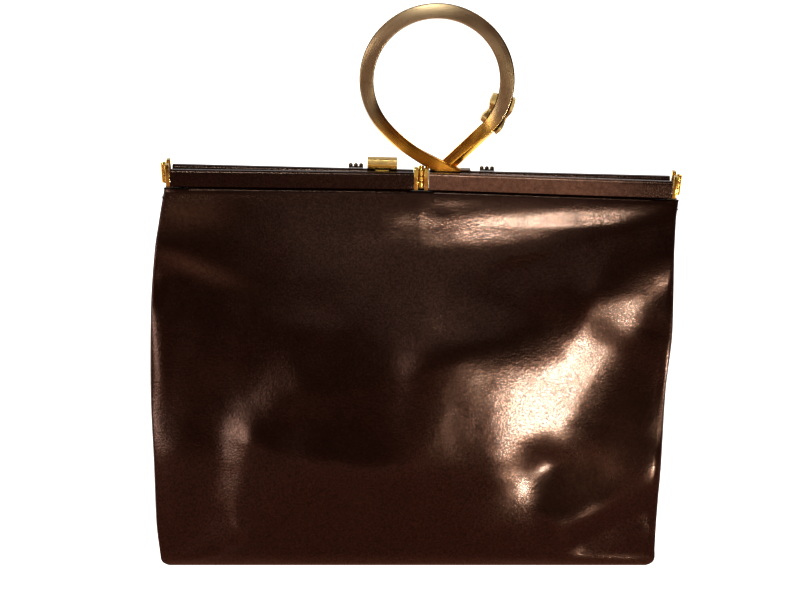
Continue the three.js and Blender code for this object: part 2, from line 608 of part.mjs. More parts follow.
function buildFrame() {
  const frame = new THREE.Group();
  const halfSpan = FRAME.span / 2;
  const middlePlate = BAR_ENDS.fromMiddleHinge - GAP - HINGE_PLATE.thickness;
  for (const face of ['front', 'back']) {
    const middleY = face === 'front' ? BAR_LINE.frontMiddle : BAR_LINE.backMiddle;
    const endY = face === 'front' ? -BAR_LINE.end : BAR_LINE.end;
    const middleHinge = new THREE.Group();
    middleHinge.position.set(0, middleY, 0);
    middleHinge.add(pieceMesh(`hinge_${face}_pin`, hingePin(), MATERIALS.brass));
    frame.add(middleHinge);
    for (const [name, side] of [['left', -1], ['right', 1]]) {
      const length = Math.hypot(halfSpan, endY - middleY);
      const barTo = length - BAR_ENDS.fromEndHinge;
      const limits = [side * BAR_ENDS.fromMiddleHinge, side * barTo].sort((a, b) => a - b);
      const half = new THREE.Group();
      half.position.set(0, middleY, 0);
      half.rotation.z = side * Math.atan2(endY - middleY, halfSpan);
      half.add(pieceMesh(`bar_${face}_${name}`, runAlongX(barOutline(), ...limits), MATERIALS.barLeather));
      const nearPlate = hingePlate(middlePlate, side, face === 'front' ? HINGE.top : UNDER_HANDLE_TOP);
      const nearAt = new THREE.Vector2(side * (middlePlate + HINGE_PLATE.thickness / 2), 0);
      const nearLeaf = hingeLeaf(nearPlate, nearAt, (name === 'left') === (face === 'front') ? [0, 2] : [1]);
      half.add(pieceMesh(`hinge_${face}_leaf_${name}`, nearLeaf, MATERIALS.brass));
      frame.add(half);

      // The end leaf is built about the end hinge's axis, so its plate is brought there first
      half.updateMatrix();
      const plateFrom = barTo + END_HINGE.plateGap;
      const endPlate = hingePlate(plateFrom, side, HINGE.top);
      endPlate.applyMatrix4(half.matrix).translate(-side * halfSpan, 0, 0);
      const plateMiddle = new THREE.Vector3(side * (plateFrom + HINGE_PLATE.thickness / 2), 0, 0);
      plateMiddle.applyMatrix4(half.matrix);
      const endAt = new THREE.Vector2(plateMiddle.x - side * halfSpan, plateMiddle.y);
      const endLeaf = hingeLeaf(endPlate, endAt, face === 'front' ? [0, 2] : [1]);
      frame.add(leaningOut(pieceMesh(`hinge_${name}_leaf_${face}`, endLeaf, MATERIALS.brass), side));
    }
  }
  for (const [name, side] of [['left', -1], ['right', 1]]) {
    frame.add(leaningOut(pieceMesh(`hinge_${name}_pin`, hingePin(), MATERIALS.brass), side));
  }
  return frame;
}

// The handle

// The ring's centre line in its own plane: up the right arm, round the ring, down the left arm
function ringCentreLine() {
  const wayAt = (deg) => new THREE.Vector2(Math.cos(degToRad(deg)), Math.sin(degToRad(deg)));
  const onRing = (deg) => wayAt(deg).multiplyScalar(RING.radius);
  const right = onRing(RING.leaveRightDeg);
  const left = onRing(RING.leaveLeftDeg);
  const rightWay = new THREE.Vector2(right.y, -right.x).normalize();
  const leftWay = new THREE.Vector2(-left.y, left.x).normalize();
  const endWay = wayAt(LEFT_ARM.endDeg);
  const leftEnd = new THREE.Vector2(LEFT_ARM.endX, LEFT_ARM.endHeight);
  const path = new THREE.CurvePath();
  path.add(new THREE.LineCurve(right.clone().addScaledVector(rightWay, RIGHT_ARM), right));
  path.add(new THREE.EllipseCurve(0, 0, RING.radius, RING.radius,
    degToRad(RING.leaveRightDeg), degToRad(RING.leaveLeftDeg)));
  path.add(new THREE.CubicBezierCurve(
    left,
    left.clone().addScaledVector(leftWay, LEFT_ARM.bend),
    leftEnd.clone().addScaledVector(endWay, -LEFT_ARM.bend),
    leftEnd));
  return path;
}

// A chamfered bar section, width across the ring and depth through it
function barSection(width, depth) {
  const w = width / 2;
  const d = depth / 2;
  const c = RING_CHAMFER;
  return [[w, d - c], [w - c, d], [c - w, d], [-w, d - c], [-w, c - d], [c - w, -d], [w - c, -d], [w, c - d]]
    .map(([a, b]) => new THREE.Vector2(a, b));
}

function ringBarGeometry() {
  const path = ringCentreLine();
  const rings = [];
  for (let i = 0; i <= RING_STEPS; i += 1) {
    const at = i / RING_STEPS;
    const bar = (column) => columnAt(RING_BAR, 'at', column, at);
    const point = path.getPointAt(at);
    const tangent = path.getTangentAt(at);
    const twist = degToRad(bar('twistDeg'));
    const outward = new THREE.Vector3(tangent.y, 0, -tangent.x);
    const through = new THREE.Vector3(0, 1, 0);
    const across = outward.clone().multiplyScalar(Math.cos(twist)).addScaledVector(through, Math.sin(twist));
    const deep = through.clone().multiplyScalar(Math.cos(twist)).addScaledVector(outward, -Math.sin(twist));
    const outline = barSection(bar('width'), bar('depth'));
    const middle = new THREE.Vector3(point.x, bar('shift'), point.y);
    const points = outline.map((p) => middle.clone().addScaledVector(across, p.x).addScaledVector(deep, p.y));
    rings.push({ outline, points });
  }
  return loft(rings);
}

// The ring's bar is cut off level above the bars, cut upright at its tip, and soldered to the foot plate
function handleGeometry() {
  const far = 60;
  const floor = GAP - RING.height;
  const below = boxBetween([-far, -far, floor - far], [far, far, floor]);
  const beyondTip = boxBetween([LEFT_TIP, -far, floor], [far, 1, floor + 5]);
  const plate = boxBetween(
    [FOOT_PLATE.from, FOOT_PLATE.front - RING.y, floor],
    [FOOT_PLATE.to, FOOT_PLATE.back - RING.y, floor + FOOT_PLATE.thickness]);
  return geometryOf(without(joined([ringBarGeometry()]), [below, beyondTip]).add(solidOf(plate)));
}

// A channel section behind the ring's bar: inner lip, back and outer lip
function clipGeometry() {
  const halfWidth = RING_BAR[3].width / 2;
  const halfDepth = RING_BAR[3].depth / 2;
  const shift = RING_BAR[3].shift;
  const first = CLIP[0].angleDeg;
  const last = CLIP[CLIP.length - 1].angleDeg;
  const rings = [];
  for (let i = 0; i <= CLIP_STEPS; i += 1) {
    const angle = lerp(first, last, i / CLIP_STEPS);
    const clip = (column) => columnAt(CLIP.map((row) => ({ ...row, key: -row.angleDeg })), 'key', column, -angle);
    const inside = RING.radius - halfWidth - GAP;
    const outside = RING.radius + halfWidth + GAP;
    const behind = shift + halfDepth + CLIP_BACK.gap;
    const front = shift - clip('reach');
    const outline = [
      [inside - clip('inner'), front], [inside, front], [inside, behind], [outside, behind],
      [outside, front], [outside + clip('outer'), front],
      [outside + clip('outer'), behind + CLIP_BACK.thickness],
      [inside - clip('inner'), behind + CLIP_BACK.thickness],
    ].map(([r, y]) => new THREE.Vector2(r, y));
    const along = degToRad(angle);
    const points = outline.map((p) => new THREE.Vector3(p.x * Math.cos(along), p.y, p.x * Math.sin(along)));
    rings.push({ outline, points });
  }
  return loft(rings);
}

function buildHandle() {
  const handle = new THREE.Group();
  handle.position.set(RING.x, RING.y, RING.height);
  handle.add(pieceMesh('handle_ring', handleGeometry(), MATERIALS.ringBrass));
  handle.add(pieceMesh('ring_clip', clipGeometry(), MATERIALS.brass));
  return handle;
}

// The clasp

function claspPlinth() {
  const half = CLASP_PLINTH.width / 2;
  const plate = boxBetween([-half, CLASP_PLINTH.front, GAP], [half, CLASP.back, CLASP_PLINTH.top]);
  const outerSide = CLASP.width / 2 - CLASP.wall - GAP;
  const innerSide = outerSide - CLASP_EAR.thickness;
  const pieces = [plate];
  for (const [from, to] of [[-outerSide, -innerSide], [innerSide, outerSide]]) {
    pieces.push(cylinderAlongX(CLASP_EAR.radius, from, to, CLASP_PIN.y, CLASP_PIN.z));
    pieces.push(boxBetween(
      [from, CLASP_PIN.y - CLASP_EAR.radius, CLASP_PLINTH.top - GAP],
      [to, CLASP_PIN.y + CLASP_EAR.radius, CLASP_PIN.z]));
  }
  const bore = cylinderAlongX(CLASP_PIN.bore, -half, half, CLASP_PIN.y, CLASP_PIN.z);
  return geometryOf(without(joined(pieces), [bore]));
}

// The lever is a hollow cover, open below and behind, whose front wall runs down as the nose
function claspLever() {
  const half = CLASP.width / 2;
  const { wall, front, back, top } = CLASP;
  const block = boxBetween([-half, front, CLASP_LEVER_BOTTOM], [half, back, top]);
  const nose = boxBetween([-half, front, CLASP.noseBottom], [half, front + wall, top]);
  const hollow = boxBetween([wall - half, front + wall, -wall], [half - wall, back + wall, top - wall]);
  const bore = cylinderAlongX(CLASP_PIN.bore, -CLASP.width, CLASP.width, CLASP_PIN.y, CLASP_PIN.z);
  return geometryOf(without(joined([block, nose]), [hollow, bore]));
}

// The catch stands on the front bar's inner side: a leg down the bar, a shelf and a lip behind the lever's nose
function claspCatch(barFace) {
  const legFront = barFace + GAP;
  const { shelfTop, thickness, lipFront, lipBack, lipTop, drop } = CATCH;
  const outline = new THREE.Shape([
    [legFront, shelfTop - drop], [legFront + thickness, shelfTop - drop],
    [legFront + thickness, shelfTop - thickness], [lipBack, shelfTop - thickness],
    [lipBack, lipTop], [lipFront, lipTop], [lipFront, shelfTop], [legFront, shelfTop],
  ].map(([y, z]) => new THREE.Vector2(y, z)));
  return runAlongX(outline, -CATCH.width / 2, CATCH.width / 2);
}

function buildClasp() {
  const clasp = new THREE.Group();
  clasp.position.x = CLASP.x;
  const pinHalf = CLASP.width / 2;
  const pin = cylinderAlongX(CLASP_PIN.radius, -pinHalf, pinHalf, CLASP_PIN.y, CLASP_PIN.z);
  clasp.add(pieceMesh('clasp_base', claspPlinth(), MATERIALS.brass));
  clasp.add(pieceMesh('clasp_lever', claspLever(), MATERIALS.brass));
  clasp.add(pieceMesh('clasp_pin', pin, MATERIALS.brass));
  const barSlope = (BAR_LINE.end + BAR_LINE.frontMiddle) / (FRAME.span / 2);
  const nearestEdge = Math.abs(CLASP.x) - CATCH.width / 2;
  const barFace = BAR_LINE.frontMiddle - barSlope * nearestEdge + BAR.depth / 2;
  clasp.add(pieceMesh('clasp_catch', claspCatch(barFace), MATERIALS.brass));
  return clasp;
}

// Three beads on a small strip
function beadRow() {
  const length = BEADS.pitch * (BEADS.count - 1) + 2 * BEADS.radius;
  const pieces = [boxBetween([-length / 2, -BEADS.radius, GAP], [length / 2, BEADS.radius, GAP + BEADS.strip])];
  for (let i = 0; i < BEADS.count; i += 1) {
    const bead = new THREE.SphereGeometry(BEADS.radius, 10, 6);
    const middle = BEADS.pitch * (i - (BEADS.count - 1) / 2);
    pieces.push(bead.translate(middle, 0, GAP + BEADS.strip + BEADS.radius - BEADS.sink));
  }
  return geometryOf(joined(pieces));
}

function buildBeads() {
  const beads = new THREE.Group();
  for (const [name, side] of [['left', -1], ['right', 1]]) {
    const row = pieceMesh(`rivet_row_${name}`, beadRow(), MATERIALS.bronze);
    row.position.set(side * BEADS.fromMiddle, BEADS.y, 0);
    beads.add(row);
  }
  return beads;
}

// The whole bag
const handbag = new THREE.Group();
const frameGroup = buildFrame();
frameGroup.add(buildHandle(), buildClasp(), buildBeads());
frameGroup.position.set(FRAME.x, 0, FRAME.top);
frameGroup.rotation.y = degToRad(FRAME.tiltDeg);
handbag.add(buildBag(), frameGroup);

export default handbag;
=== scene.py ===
"""A soft leather handbag on a hinged frame, with a ring handle and a lever clasp.

The file is laid out as an add-on: settings, one operator for each group of pieces, and a panel that lists
them. Sizes in the tables are millimetres in the bag's own frame: +Z is up, the front faces -Y, and the origin
is the middle of the flat base.
"""

import math
from collections import namedtuple

import bmesh
import bpy
import numpy as np
from mathutils import Matrix, Vector, noise


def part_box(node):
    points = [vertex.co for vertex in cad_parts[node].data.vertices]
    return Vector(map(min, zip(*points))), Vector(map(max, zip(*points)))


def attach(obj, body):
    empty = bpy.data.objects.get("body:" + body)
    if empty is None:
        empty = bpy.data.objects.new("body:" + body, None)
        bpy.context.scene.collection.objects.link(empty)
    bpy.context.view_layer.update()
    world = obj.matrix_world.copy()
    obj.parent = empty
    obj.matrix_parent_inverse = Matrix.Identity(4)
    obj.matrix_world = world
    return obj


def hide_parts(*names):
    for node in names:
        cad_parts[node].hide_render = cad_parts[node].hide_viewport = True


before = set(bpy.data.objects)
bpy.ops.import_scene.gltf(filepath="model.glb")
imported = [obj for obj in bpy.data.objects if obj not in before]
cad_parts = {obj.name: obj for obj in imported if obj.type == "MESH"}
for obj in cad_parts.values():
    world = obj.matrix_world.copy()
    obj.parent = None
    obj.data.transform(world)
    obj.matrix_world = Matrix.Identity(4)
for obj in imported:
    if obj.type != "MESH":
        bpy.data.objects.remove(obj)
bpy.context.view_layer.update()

bl_info = {
    "name": "Leather frame handbag",
    "version": (1, 0, 0),
    "blender": (4, 5, 0),
    "location": "View3D > Sidebar > Handbag",
    "description": "Builds a dark leather handbag with a brass ring handle round its packed frame",
    "category": "Add Mesh",
}

MM = 0.001

# The frame: its bars start at its middle, level with their tops, and it leans down to the right
FRAME_SPAN = 305.0
FRAME_X = 6.8
FRAME_TOP = 235.5
FRAME_TILT = math.radians(1.4)
GAP = 0.3
BAR_DEPTH = 5.5
BAR_HEIGHT = 10.0
BAR_TOP_ROUND = 1.6
BAR_TOP_TALL = 2.2
BAR_FOOT_ROUND = 0.6
GROOVE_HALF = 1.1
GROOVE_DEPTH = 6.0
BAR_END_LINE = 7.25
BAR_MIDDLE_LINE = {"front": 0.6, "back": 7.25}
BAR_FROM_MIDDLE = 4.7
BAR_FROM_END = 4.45

# The leather walls
ROLL = 7.0
ROLL_STEPS = 10
WALL_TOP = 222.5
TUCK_FROM = 224.2
TUCK_TO = 230.3
TUCK_END = 10
LOOSE_TUCK = 0.1
TUCK_RISE = (0.0, 0.1, 0.16, 1.0)
TUCK_IN = (0.05, 0.5, 1.0, 1.0)
TUCK_FACE = 8.05
KINK_FROM = 120.0
HINGE_CLEAR = 6.5
SEAM_DIP = 0.55
SEAM_WIDE = 1.1
SEAM_GAP = 0.12
GUSSET_MARGIN = 0.22

# Sections of the bag at each height: the side seams, how far the faces and the seams stand from the middle,
# how far the corners reach in from the seams, and how deep the sides are folded in
Section = namedtuple("Section", "height left right face seam corner_left corner_right fold")
SECTIONS = (
    Section(7, -149.8, 146.9, 38.0, 38.00, 18, 14, 0),
    Section(30, -152.2, 147.8, 39.3, 37.32, 30, 18, 9),
    Section(64, -152.9, 149.9, 38.0, 35.97, 34, 20, 19),
    Section(110, -154.4, 152.2, 31.5, 29.53, 34, 20, 25),
    Section(150, -153.8, 156, 26.9, 24.89, 30, 18, 23),
    Section(190, -150.9, 156.4, 21.0, 19.43, 22, 16, 14),
    Section(204, -148.7, 157, 16.8, 15.22, 18, 14, 11),
    Section(213, -147.2, 157.6, 13.4, 12.16, 15, 14, 9.5),
    Section(222.5, -145.5, 159.1, 10.0, 8.05, 14, 14, 7),
)

# Spots of painted sheen that lighten the front's colour: middle, half width and half height, rise per mm to
# the right, and how strong the sheen is
Spot = namedtuple("Spot", "x height wide tall slope share")
PAINTED_SHEEN_SPOTS = (
    Spot(-131, 214, 22, 9, 0, 1.0),
    Spot(-128, 183, 26, 5, -0.37, 0.9),
    Spot(111, 62, 26, 20, 0.3, 0.8),
    Spot(126, 101, 18, 24, 0, 0.2),
)

# Folds of the panels: a line from one point to another (bottom to top, or left to right), how far the leather
# is lifted there (a hollow is below zero), and how far it fades to the left and right of that way and past
# its ends
Fold = namedtuple("Fold", "x1 height1 x2 height2 lift left right ends")
FRONT_FOLDS = (
    Fold(44, 63, 51, 131, 1.2, 80, 28, 20),
    Fold(81, 72, 115, 135, -3.5, 26, 21, 24),
    Fold(88, 62, 104, 66, -3.0, 15, 24, 18),
    Fold(92, 27, 150, 60, 2.4, 17, 9, 10),
    Fold(104, 18, 140, 36, -1.8, 9, 9, 10),
    Fold(-107, 20, -94, 76, 2.5, 13, 26, 14),
    Fold(-93, 87, -67, 117, 1.4, 18, 14, 15),
    Fold(-138, 41, -140, 112, 0.8, 16, 13, 20),
    Fold(-144, -3, -101, 22, 2.3, 10, 6, 7),
    Fold(-141, 172, -114, 166, -2.2, 12, 19, 18),
    Fold(-143, 203, -85, 210, -0.5, 10, 11, 15),
    Fold(25, 223, 147, 256, 2.1, 11, 8, 12),
    Fold(63, 183, 147, 210, -1.1, 7, 15, 12),
    Fold(146, 164, 163, 173, -2.2, 14, 19, 24),
    Fold(109, 162, 160, 142, 1.7, 23, 21, 11),
    Fold(5, 68, 14, 140, 3.2, 18, 24, 33),
    Fold(-30, 47, -25, 59, 4.2, 29, 21, 18),
    Fold(-55, 171, -16, 175, -0.4, 11, 19, 16),
    Fold(128, 17, 108, 76, -1.6, 19, 19, 26),
    Fold(-47, 105, 26, 125, 4.0, 22, 49, 39),
    Fold(-88, 169, -55, 161, -1.3, 20, 15, 17),
    Fold(41, 188, 122, 207, 1.6, 17, 17, 25),
    Fold(-125, 186, -35, 196, -1.9, 18, 17, 22),
    Fold(-151, 117, -156, 188, 0.4, 8, 8, 13),
    Fold(-92, 30, -60, 66, 3.1, 23, 21, 17),
    Fold(44, 22, 80, -12, 2.2, 24, 10, 23),
    Fold(120, 91, 141, 146, -2.6, 17, 19, 12),
    Fold(67, 75, 88, 110, 0.5, 15, 13, 20),
    Fold(-143, 96, -138, 140, -0.5, 9, 12, 12),
)
BACK_FOLDS = (
    Fold(-84, 60, -118, 150, 3.5, 20, 16, 18),
    Fold(-104, 52, -120, 78, -4.5, 18, 18, 18),
    Fold(96, 176, 138, 188, 1.8, 11, 9, 11),
    Fold(98, 28, 90, 96, 2.4, 15, 12, 15),
    Fold(116, 44, 132, 26, -3.0, 14, 14, 14),
    Fold(-40, 40, 30, 46, 1.6, 40, 30, 40),
    Fold(-120, 205, 60, 202, 1.2, 9, 9, 14),
)
FADE_BASE = (3, 10)
FADE_BARS = (206, 221)
FADE_SEAM_TURN = 0.5

# Unevenness of the leather between its folds: how high, how wide, and a seed
Wave = namedtuple("Wave", "height size seed")
PANEL_WAVES = (Wave(0.35, 34, 3.0), Wave(0.1, 11, 7.0))
GUSSET_WAVE = Wave(0.5, 30, 11.0)
GUSSET_FADE = 0.2

# Barrel hinges
HINGE_TOP = 2.8
UNDER_HANDLE_TOP = 0.2
HINGE_FOOT = -10.0
HINGE_RADIUS = 1.85
HINGE_BORE = 1.0
HINGE_PIN = 0.7
HINGE_HEAD = 1.2
KNUCKLES = 3
PLATE_THICK = 2.4
END_PLATE_GAP = 0.8
END_LEAN = math.radians(4.5)
PLATE_OVER_BAR = 0.2
STRAP_THICK = 1.3

# The ring handle: a ring whose ends run on as two arms that cross above the frame, the left one bent
RING_X = 7.8
RING_Y = 7.4
RING_HEIGHT = 54.0
RING_RADIUS = 41.6
RING_WIDTH = 8.8
RING_DEPTH = 5.0
RING_LEAVES_RIGHT = math.radians(-45)
RING_LEAVES_LEFT = math.radians(222)
RIGHT_ARM = 36.9
LEFT_END = (14.5, -56.2)
LEFT_END_WAY = math.radians(-24)
LEFT_ARM_BEND = 20.0
# The left arm's end is cut upright, and a facet is cut off its front
LEFT_TIP = 15.5
TIP_FACET_FROM = (5.2, -48.6)
TIP_FACET_WAY = (0.24, -0.88, 0.42)
# The ring's bar at places along it: its section, its twist in degrees and how far it is shifted backwards
RingBar = namedtuple("RingBar", "at width depth twist shift")
RING_BAR = (
    RingBar(0, 6.9, 6, -48, 1.5),
    RingBar(0.08, 7.4, 5.6, -42, 1.5),
    RingBar(0.16, 8.4, 5, -14, 1.3),
    RingBar(0.24, 8.8, 5, 0, 0.9),
    RingBar(0.36, 8.9, 5, 10, 0.48),
    RingBar(0.47, 9, 5, 17, 0.1),
    RingBar(0.6, 8.9, 5, 12, -0.35),
    RingBar(0.7, 8.5, 5, 0, -0.69),
    RingBar(0.78, 7.8, 5, -18, -0.95),
    RingBar(0.85, 7.2, 5, -24, -1.2),
    RingBar(0.9, 7.4, 5, -8, -1.4),
    RingBar(0.94, 7.6, 5, 0, -1.5),
    RingBar(1, 7.6, 5, 0, -1.5),
)
FOOT_LOW = (-2.6, 4.3)
FOOT_HIGH = (21.5, 10.9)
FOOT_THICK = 0.9

# The clip on the ring's right arm
Clip = namedtuple("Clip", "turn inner outer reach")
CLIP = (
    Clip(12, 2.6, 1.7, 1.6),
    Clip(20, 3.2, 1.9, 2.4),
    Clip(28, 1.6, 1.1, -0.4),
    Clip(36, 2.7, 1.9, 2.2),
    Clip(41, 2.0, 1.5, 1.2),
)
CLIP_BEHIND = 1.6
CLIP_BACK = 1.2
CLIP_EDGE = 0.35
CLIP_STEPS = 40
CLIP_SHARP = math.radians(40)
CLIP_ON_BAR = RING_BAR[3]

# The clasp
CLASP_X = -23.3
CLASP_WIDE = 17.7
CLASP_WALL = 0.9
CLASP_FRONT = 2.6
CLASP_BACK = 10.0
CLASP_TOP = 6.8
CLASP_NOSE = 0.4
CLASP_SKIRT = 2.5
CLASP_STRIPE = 3.2
PLINTH_TOP = 2.1
PLINTH_WIDE = 17.1
PLINTH_FRONT = 4.5
CLASP_PIN_Y = 8.9
CLASP_PIN_Z = 4.5
CLASP_PIN_RADIUS = 0.7
CLASP_BORE = 1.0
EAR_THICK = 1.2
EAR_RADIUS = 1.15
CATCH_WIDE = 8.0
CATCH_SHELF = -0.7
CATCH_THICK = 0.8
CATCH_DROP = 5.0
CATCH_LIP = (3.7, 4.2)
CATCH_LIP_TOP = 1.8

# Rows of three beads on the back bars
BEAD_FROM_MIDDLE = 39.0
BEADS = 3
BEAD_RADIUS = 1.25
BEAD_PITCH = 3.1
BEAD_Y = 8.6
BEAD_STRIP = 0.7
BEAD_SINK = 0.5


# Settings

class LeatherSettings(bpy.types.PropertyGroup):
    """The leather of the bag and of its bars."""

    thickness: bpy.props.FloatProperty(
        name="Thickness", description="Thickness of the leather walls", default=0.0016, unit="LENGTH")
    dark: bpy.props.FloatVectorProperty(
        name="Dark brown", description="Colour of the leather in its darker patches",
        default=(0.0058, 0.0013, 0.0006), subtype="COLOR", min=0, max=1)
    warm: bpy.props.FloatVectorProperty(
        name="Warm brown", description="Colour of the leather in its lighter patches",
        default=(0.0096, 0.0023, 0.0011), subtype="COLOR", min=0, max=1)
    # This brown also paints sheen: the front's stated spots are lightened towards it
    worn: bpy.props.FloatVectorProperty(
        name="Worn brown", description="Colour of the leather where it is rubbed",
        default=(0.07, 0.034, 0.02), subtype="COLOR", min=0, max=1)
    # This brown also paints the right front bar's sheen, beside real rubbing
    rubbed_and_sheen: bpy.props.FloatVectorProperty(
        name="Rubbed brown", description="Colour of the bars' leather where hands rub it",
        default=(0.2, 0.108, 0.072), subtype="COLOR", min=0, max=1)
    shine: bpy.props.FloatVectorProperty(
        name="Shine", description="Tint of the polish on the leather",
        default=(1.0, 0.5, 0.32), subtype="COLOR", min=0, max=1)
    roughness: bpy.props.FloatProperty(
        name="Roughness", description="Roughness of the polished leather", default=0.2, subtype="FACTOR",
        min=0, max=1)
    polish: bpy.props.FloatProperty(
        name="Polish", description="Weight of the clear polish", default=0.5, subtype="FACTOR", min=0, max=1)
    grain: bpy.props.FloatProperty(
        name="Grain", description="Width of one pebble of the leather's grain", default=0.0011, unit="LENGTH")
    thread: bpy.props.FloatVectorProperty(
        name="Thread", description="Colour of the sewing thread", default=(0.16, 0.085, 0.045),
        subtype="COLOR", min=0, max=1)
    stitch_pitch: bpy.props.FloatProperty(
        name="Stitch pitch", description="Distance from stitch to stitch", default=0.0031, unit="LENGTH")


class MetalSettings(bpy.types.PropertyGroup):
    """The brass fittings, the ring handle and the dark beads."""

    gilt: bpy.props.FloatVectorProperty(
        name="Gilt", description="Colour of the polished fittings", default=(0.72, 0.51, 0.13),
        subtype="COLOR", min=0, max=1)
    ring: bpy.props.FloatVectorProperty(
        name="Ring", description="Colour of the brushed ring", default=(0.70, 0.50, 0.31), subtype="COLOR",
        min=0, max=1)
    arm: bpy.props.FloatVectorProperty(
        name="Arm gold", description="Colour of the ring's gilded arms", default=(1.0, 0.56, 0.09),
        subtype="COLOR", min=0, max=1)
    tarnish: bpy.props.FloatVectorProperty(
        name="Tarnish", description="Colour of the tarnished spots", default=(0.16, 0.09, 0.035),
        subtype="COLOR", min=0, max=1)
    bronze: bpy.props.FloatVectorProperty(
        name="Bronze", description="Colour of the dark beads", default=(0.10, 0.065, 0.035), subtype="COLOR",
        min=0, max=1)


class StageSettings(bpy.types.PropertyGroup):
    """The floor, the lights and the camera."""

    floor: bpy.props.FloatVectorProperty(
        name="Floor", description="Colour of the floor", default=(0.10, 0.10, 0.10), subtype="COLOR",
        min=0, max=1)
    exposure: bpy.props.FloatProperty(
        name="Exposure", description="Exposure of the picture in stops", default=0.62)
    gamma: bpy.props.FloatProperty(
        name="Gamma", description="Gamma of the picture, lower for more contrast", default=0.8)
    bounce: bpy.props.FloatVectorProperty(
        name="Bounce", description="Colour of the light that the floor in front throws back",
        default=(1, 0.48, 0.33), subtype="COLOR", min=0, max=1)
    key_power: bpy.props.FloatProperty(
        name="Key light", description="Power of the small low light on the right", default=1.0, unit="POWER")
    band_power: bpy.props.FloatProperty(
        name="Band light", description="Power of the light above the camera", default=4.4, unit="POWER")
    fill_power: bpy.props.FloatProperty(
        name="Fill light", description="Power of the weak light on the left", default=1.3, unit="POWER")
    front_power: bpy.props.FloatProperty(
        name="Front fill", description="Power of the weak light beside the camera", default=1.6, unit="POWER")
    ring_power: bpy.props.FloatProperty(
        name="Ring fill", description="Power of the card that the ring mirrors", default=0.0175, unit="POWER")
    rim_power: bpy.props.FloatProperty(
        name="Rim light", description="Power of the lights behind", default=5.0, unit="POWER")
    camera_place: bpy.props.FloatVectorProperty(
        name="Camera", description="Where the camera stands", default=(-0.0059, -1.700, 0.6118),
        subtype="TRANSLATION")
    camera_pitch: bpy.props.FloatProperty(
        name="Pitch", description="How far the camera looks down", default=math.radians(14.969),
        subtype="ANGLE")
    camera_lens: bpy.props.FloatProperty(
        name="Lens", description="Focal length in millimetres", default=131.99)


# Shape helpers

def read_column(rows, column, places):
    """One column of a table at any place along its first column: smooth, and never past its neighbours."""
    keys = np.array([row[0] for row in rows], float)
    values = np.array([getattr(row, column) for row in rows], float)
    rise = np.diff(values) / np.diff(keys)
    slope = np.concatenate([rise[:1], np.zeros(len(keys) - 2), rise[-1:]])
    before, after = rise[:-1], rise[1:]
    same = before * after > 0
    slope[1:-1] = np.where(same, 2 * before * after / np.where(same, before + after, 1), 0)
    places = np.clip(places, keys[0], keys[-1])
    row = np.clip(np.searchsorted(keys, places, side="right") - 1, 0, len(keys) - 2)
    span = keys[row + 1] - keys[row]
    t = (places - keys[row]) / span
    keep = (1 + 2 * t) * (1 - t) ** 2
    bend = (1 - t) * slope[row] - t * slope[row + 1]
    return keep * values[row] + (1 - keep) * values[row + 1] + span * t * (1 - t) * bend


def smoothstep(value, low, high):
    t = np.clip((value - low) / (high - low), 0, 1)
    return t * t * (3 - 2 * t)


def risen_to(x, height):
    """The bag leans with its frame, less and less towards the base."""
    return height * (1 - (x - FRAME_X) * math.tan(FRAME_TILT) / (FRAME_TOP - BAR_HEIGHT))


def front_kink(x, height):
    """The front bars' middle is pushed in, and takes the top of the front panel with it."""
    across = np.clip(1 - np.abs(x - FRAME_X) / (FRAME_SPAN / 2), 0, 1)
    return (BAR_END_LINE + BAR_MIDDLE_LINE["front"]) * across * smoothstep(height, KINK_FROM, WALL_TOP)


def fold_lift(folds, x, height):
    """How far the folds lift the leather at each place of a panel."""
    lift = np.zeros_like(x)
    for fold in folds:
        run = np.array([fold.x2 - fold.x1, fold.height2 - fold.height1], float)
        length = np.linalg.norm(run)
        run /= length
        away_x = x - fold.x1
        away_height = height - fold.height1
        along = away_x * run[0] + away_height * run[1]
        left = away_height * run[0] - away_x * run[1]
        past = np.maximum(np.maximum(-along, along - length), 0)
        wide = np.where(left > 0, fold.left, fold.right)
        lift += fold.lift * np.exp(-((left / wide) ** 2) - (past / fold.ends) ** 2)
    return lift


def grid_normals(points, facing):
    along = np.gradient(points, axis=1)
    up = np.gradient(points, axis=0)
    normal = np.cross(along, up) * facing
    return normal / np.maximum(np.linalg.norm(normal, axis=2, keepdims=True), 1e-9)


def unevenness(points, wave):
    """Smooth noise at each point of a grid, from about -1 to 1."""
    flat = points.reshape(-1, 3) / wave.size + wave.seed
    values = [noise.noise(Vector(p)) for p in flat]
    return np.array(values).reshape(points.shape[:2])


FRAME_PLACE = Matrix.Translation((FRAME_X, 0, FRAME_TOP)) @ Matrix.Rotation(FRAME_TILT, 4, "Y")
TO_METRES = Matrix.Scale(MM, 4)


def add_grid(shape, outer, inner):
    """A thin closed wall between two grids of points."""
    rows, columns = outer.shape[:2]
    sides = [[shape.verts.new(p) for p in grid.reshape(-1, 3)] for grid in (outer, inner)]

    def at(side, i, j):
        return sides[side][i * columns + j]

    for i in range(rows - 1):
        for j in range(columns - 1):
            shape.faces.new((at(0, i, j), at(0, i, j + 1), at(0, i + 1, j + 1), at(0, i + 1, j)))
            shape.faces.new((at(1, i, j), at(1, i + 1, j), at(1, i + 1, j + 1), at(1, i, j + 1)))
    for j in range(columns - 1):
        last = rows - 1
        shape.faces.new((at(0, 0, j), at(1, 0, j), at(1, 0, j + 1), at(0, 0, j + 1)))
        shape.faces.new((at(0, last, j), at(0, last, j + 1), at(1, last, j + 1), at(1, last, j)))
    for i in range(rows - 1):
        last = columns - 1
        shape.faces.new((at(0, i, 0), at(0, i + 1, 0), at(1, i + 1, 0), at(1, i, 0)))
        shape.faces.new((at(0, i, last), at(1, i, last), at(1, i + 1, last), at(0, i + 1, last)))


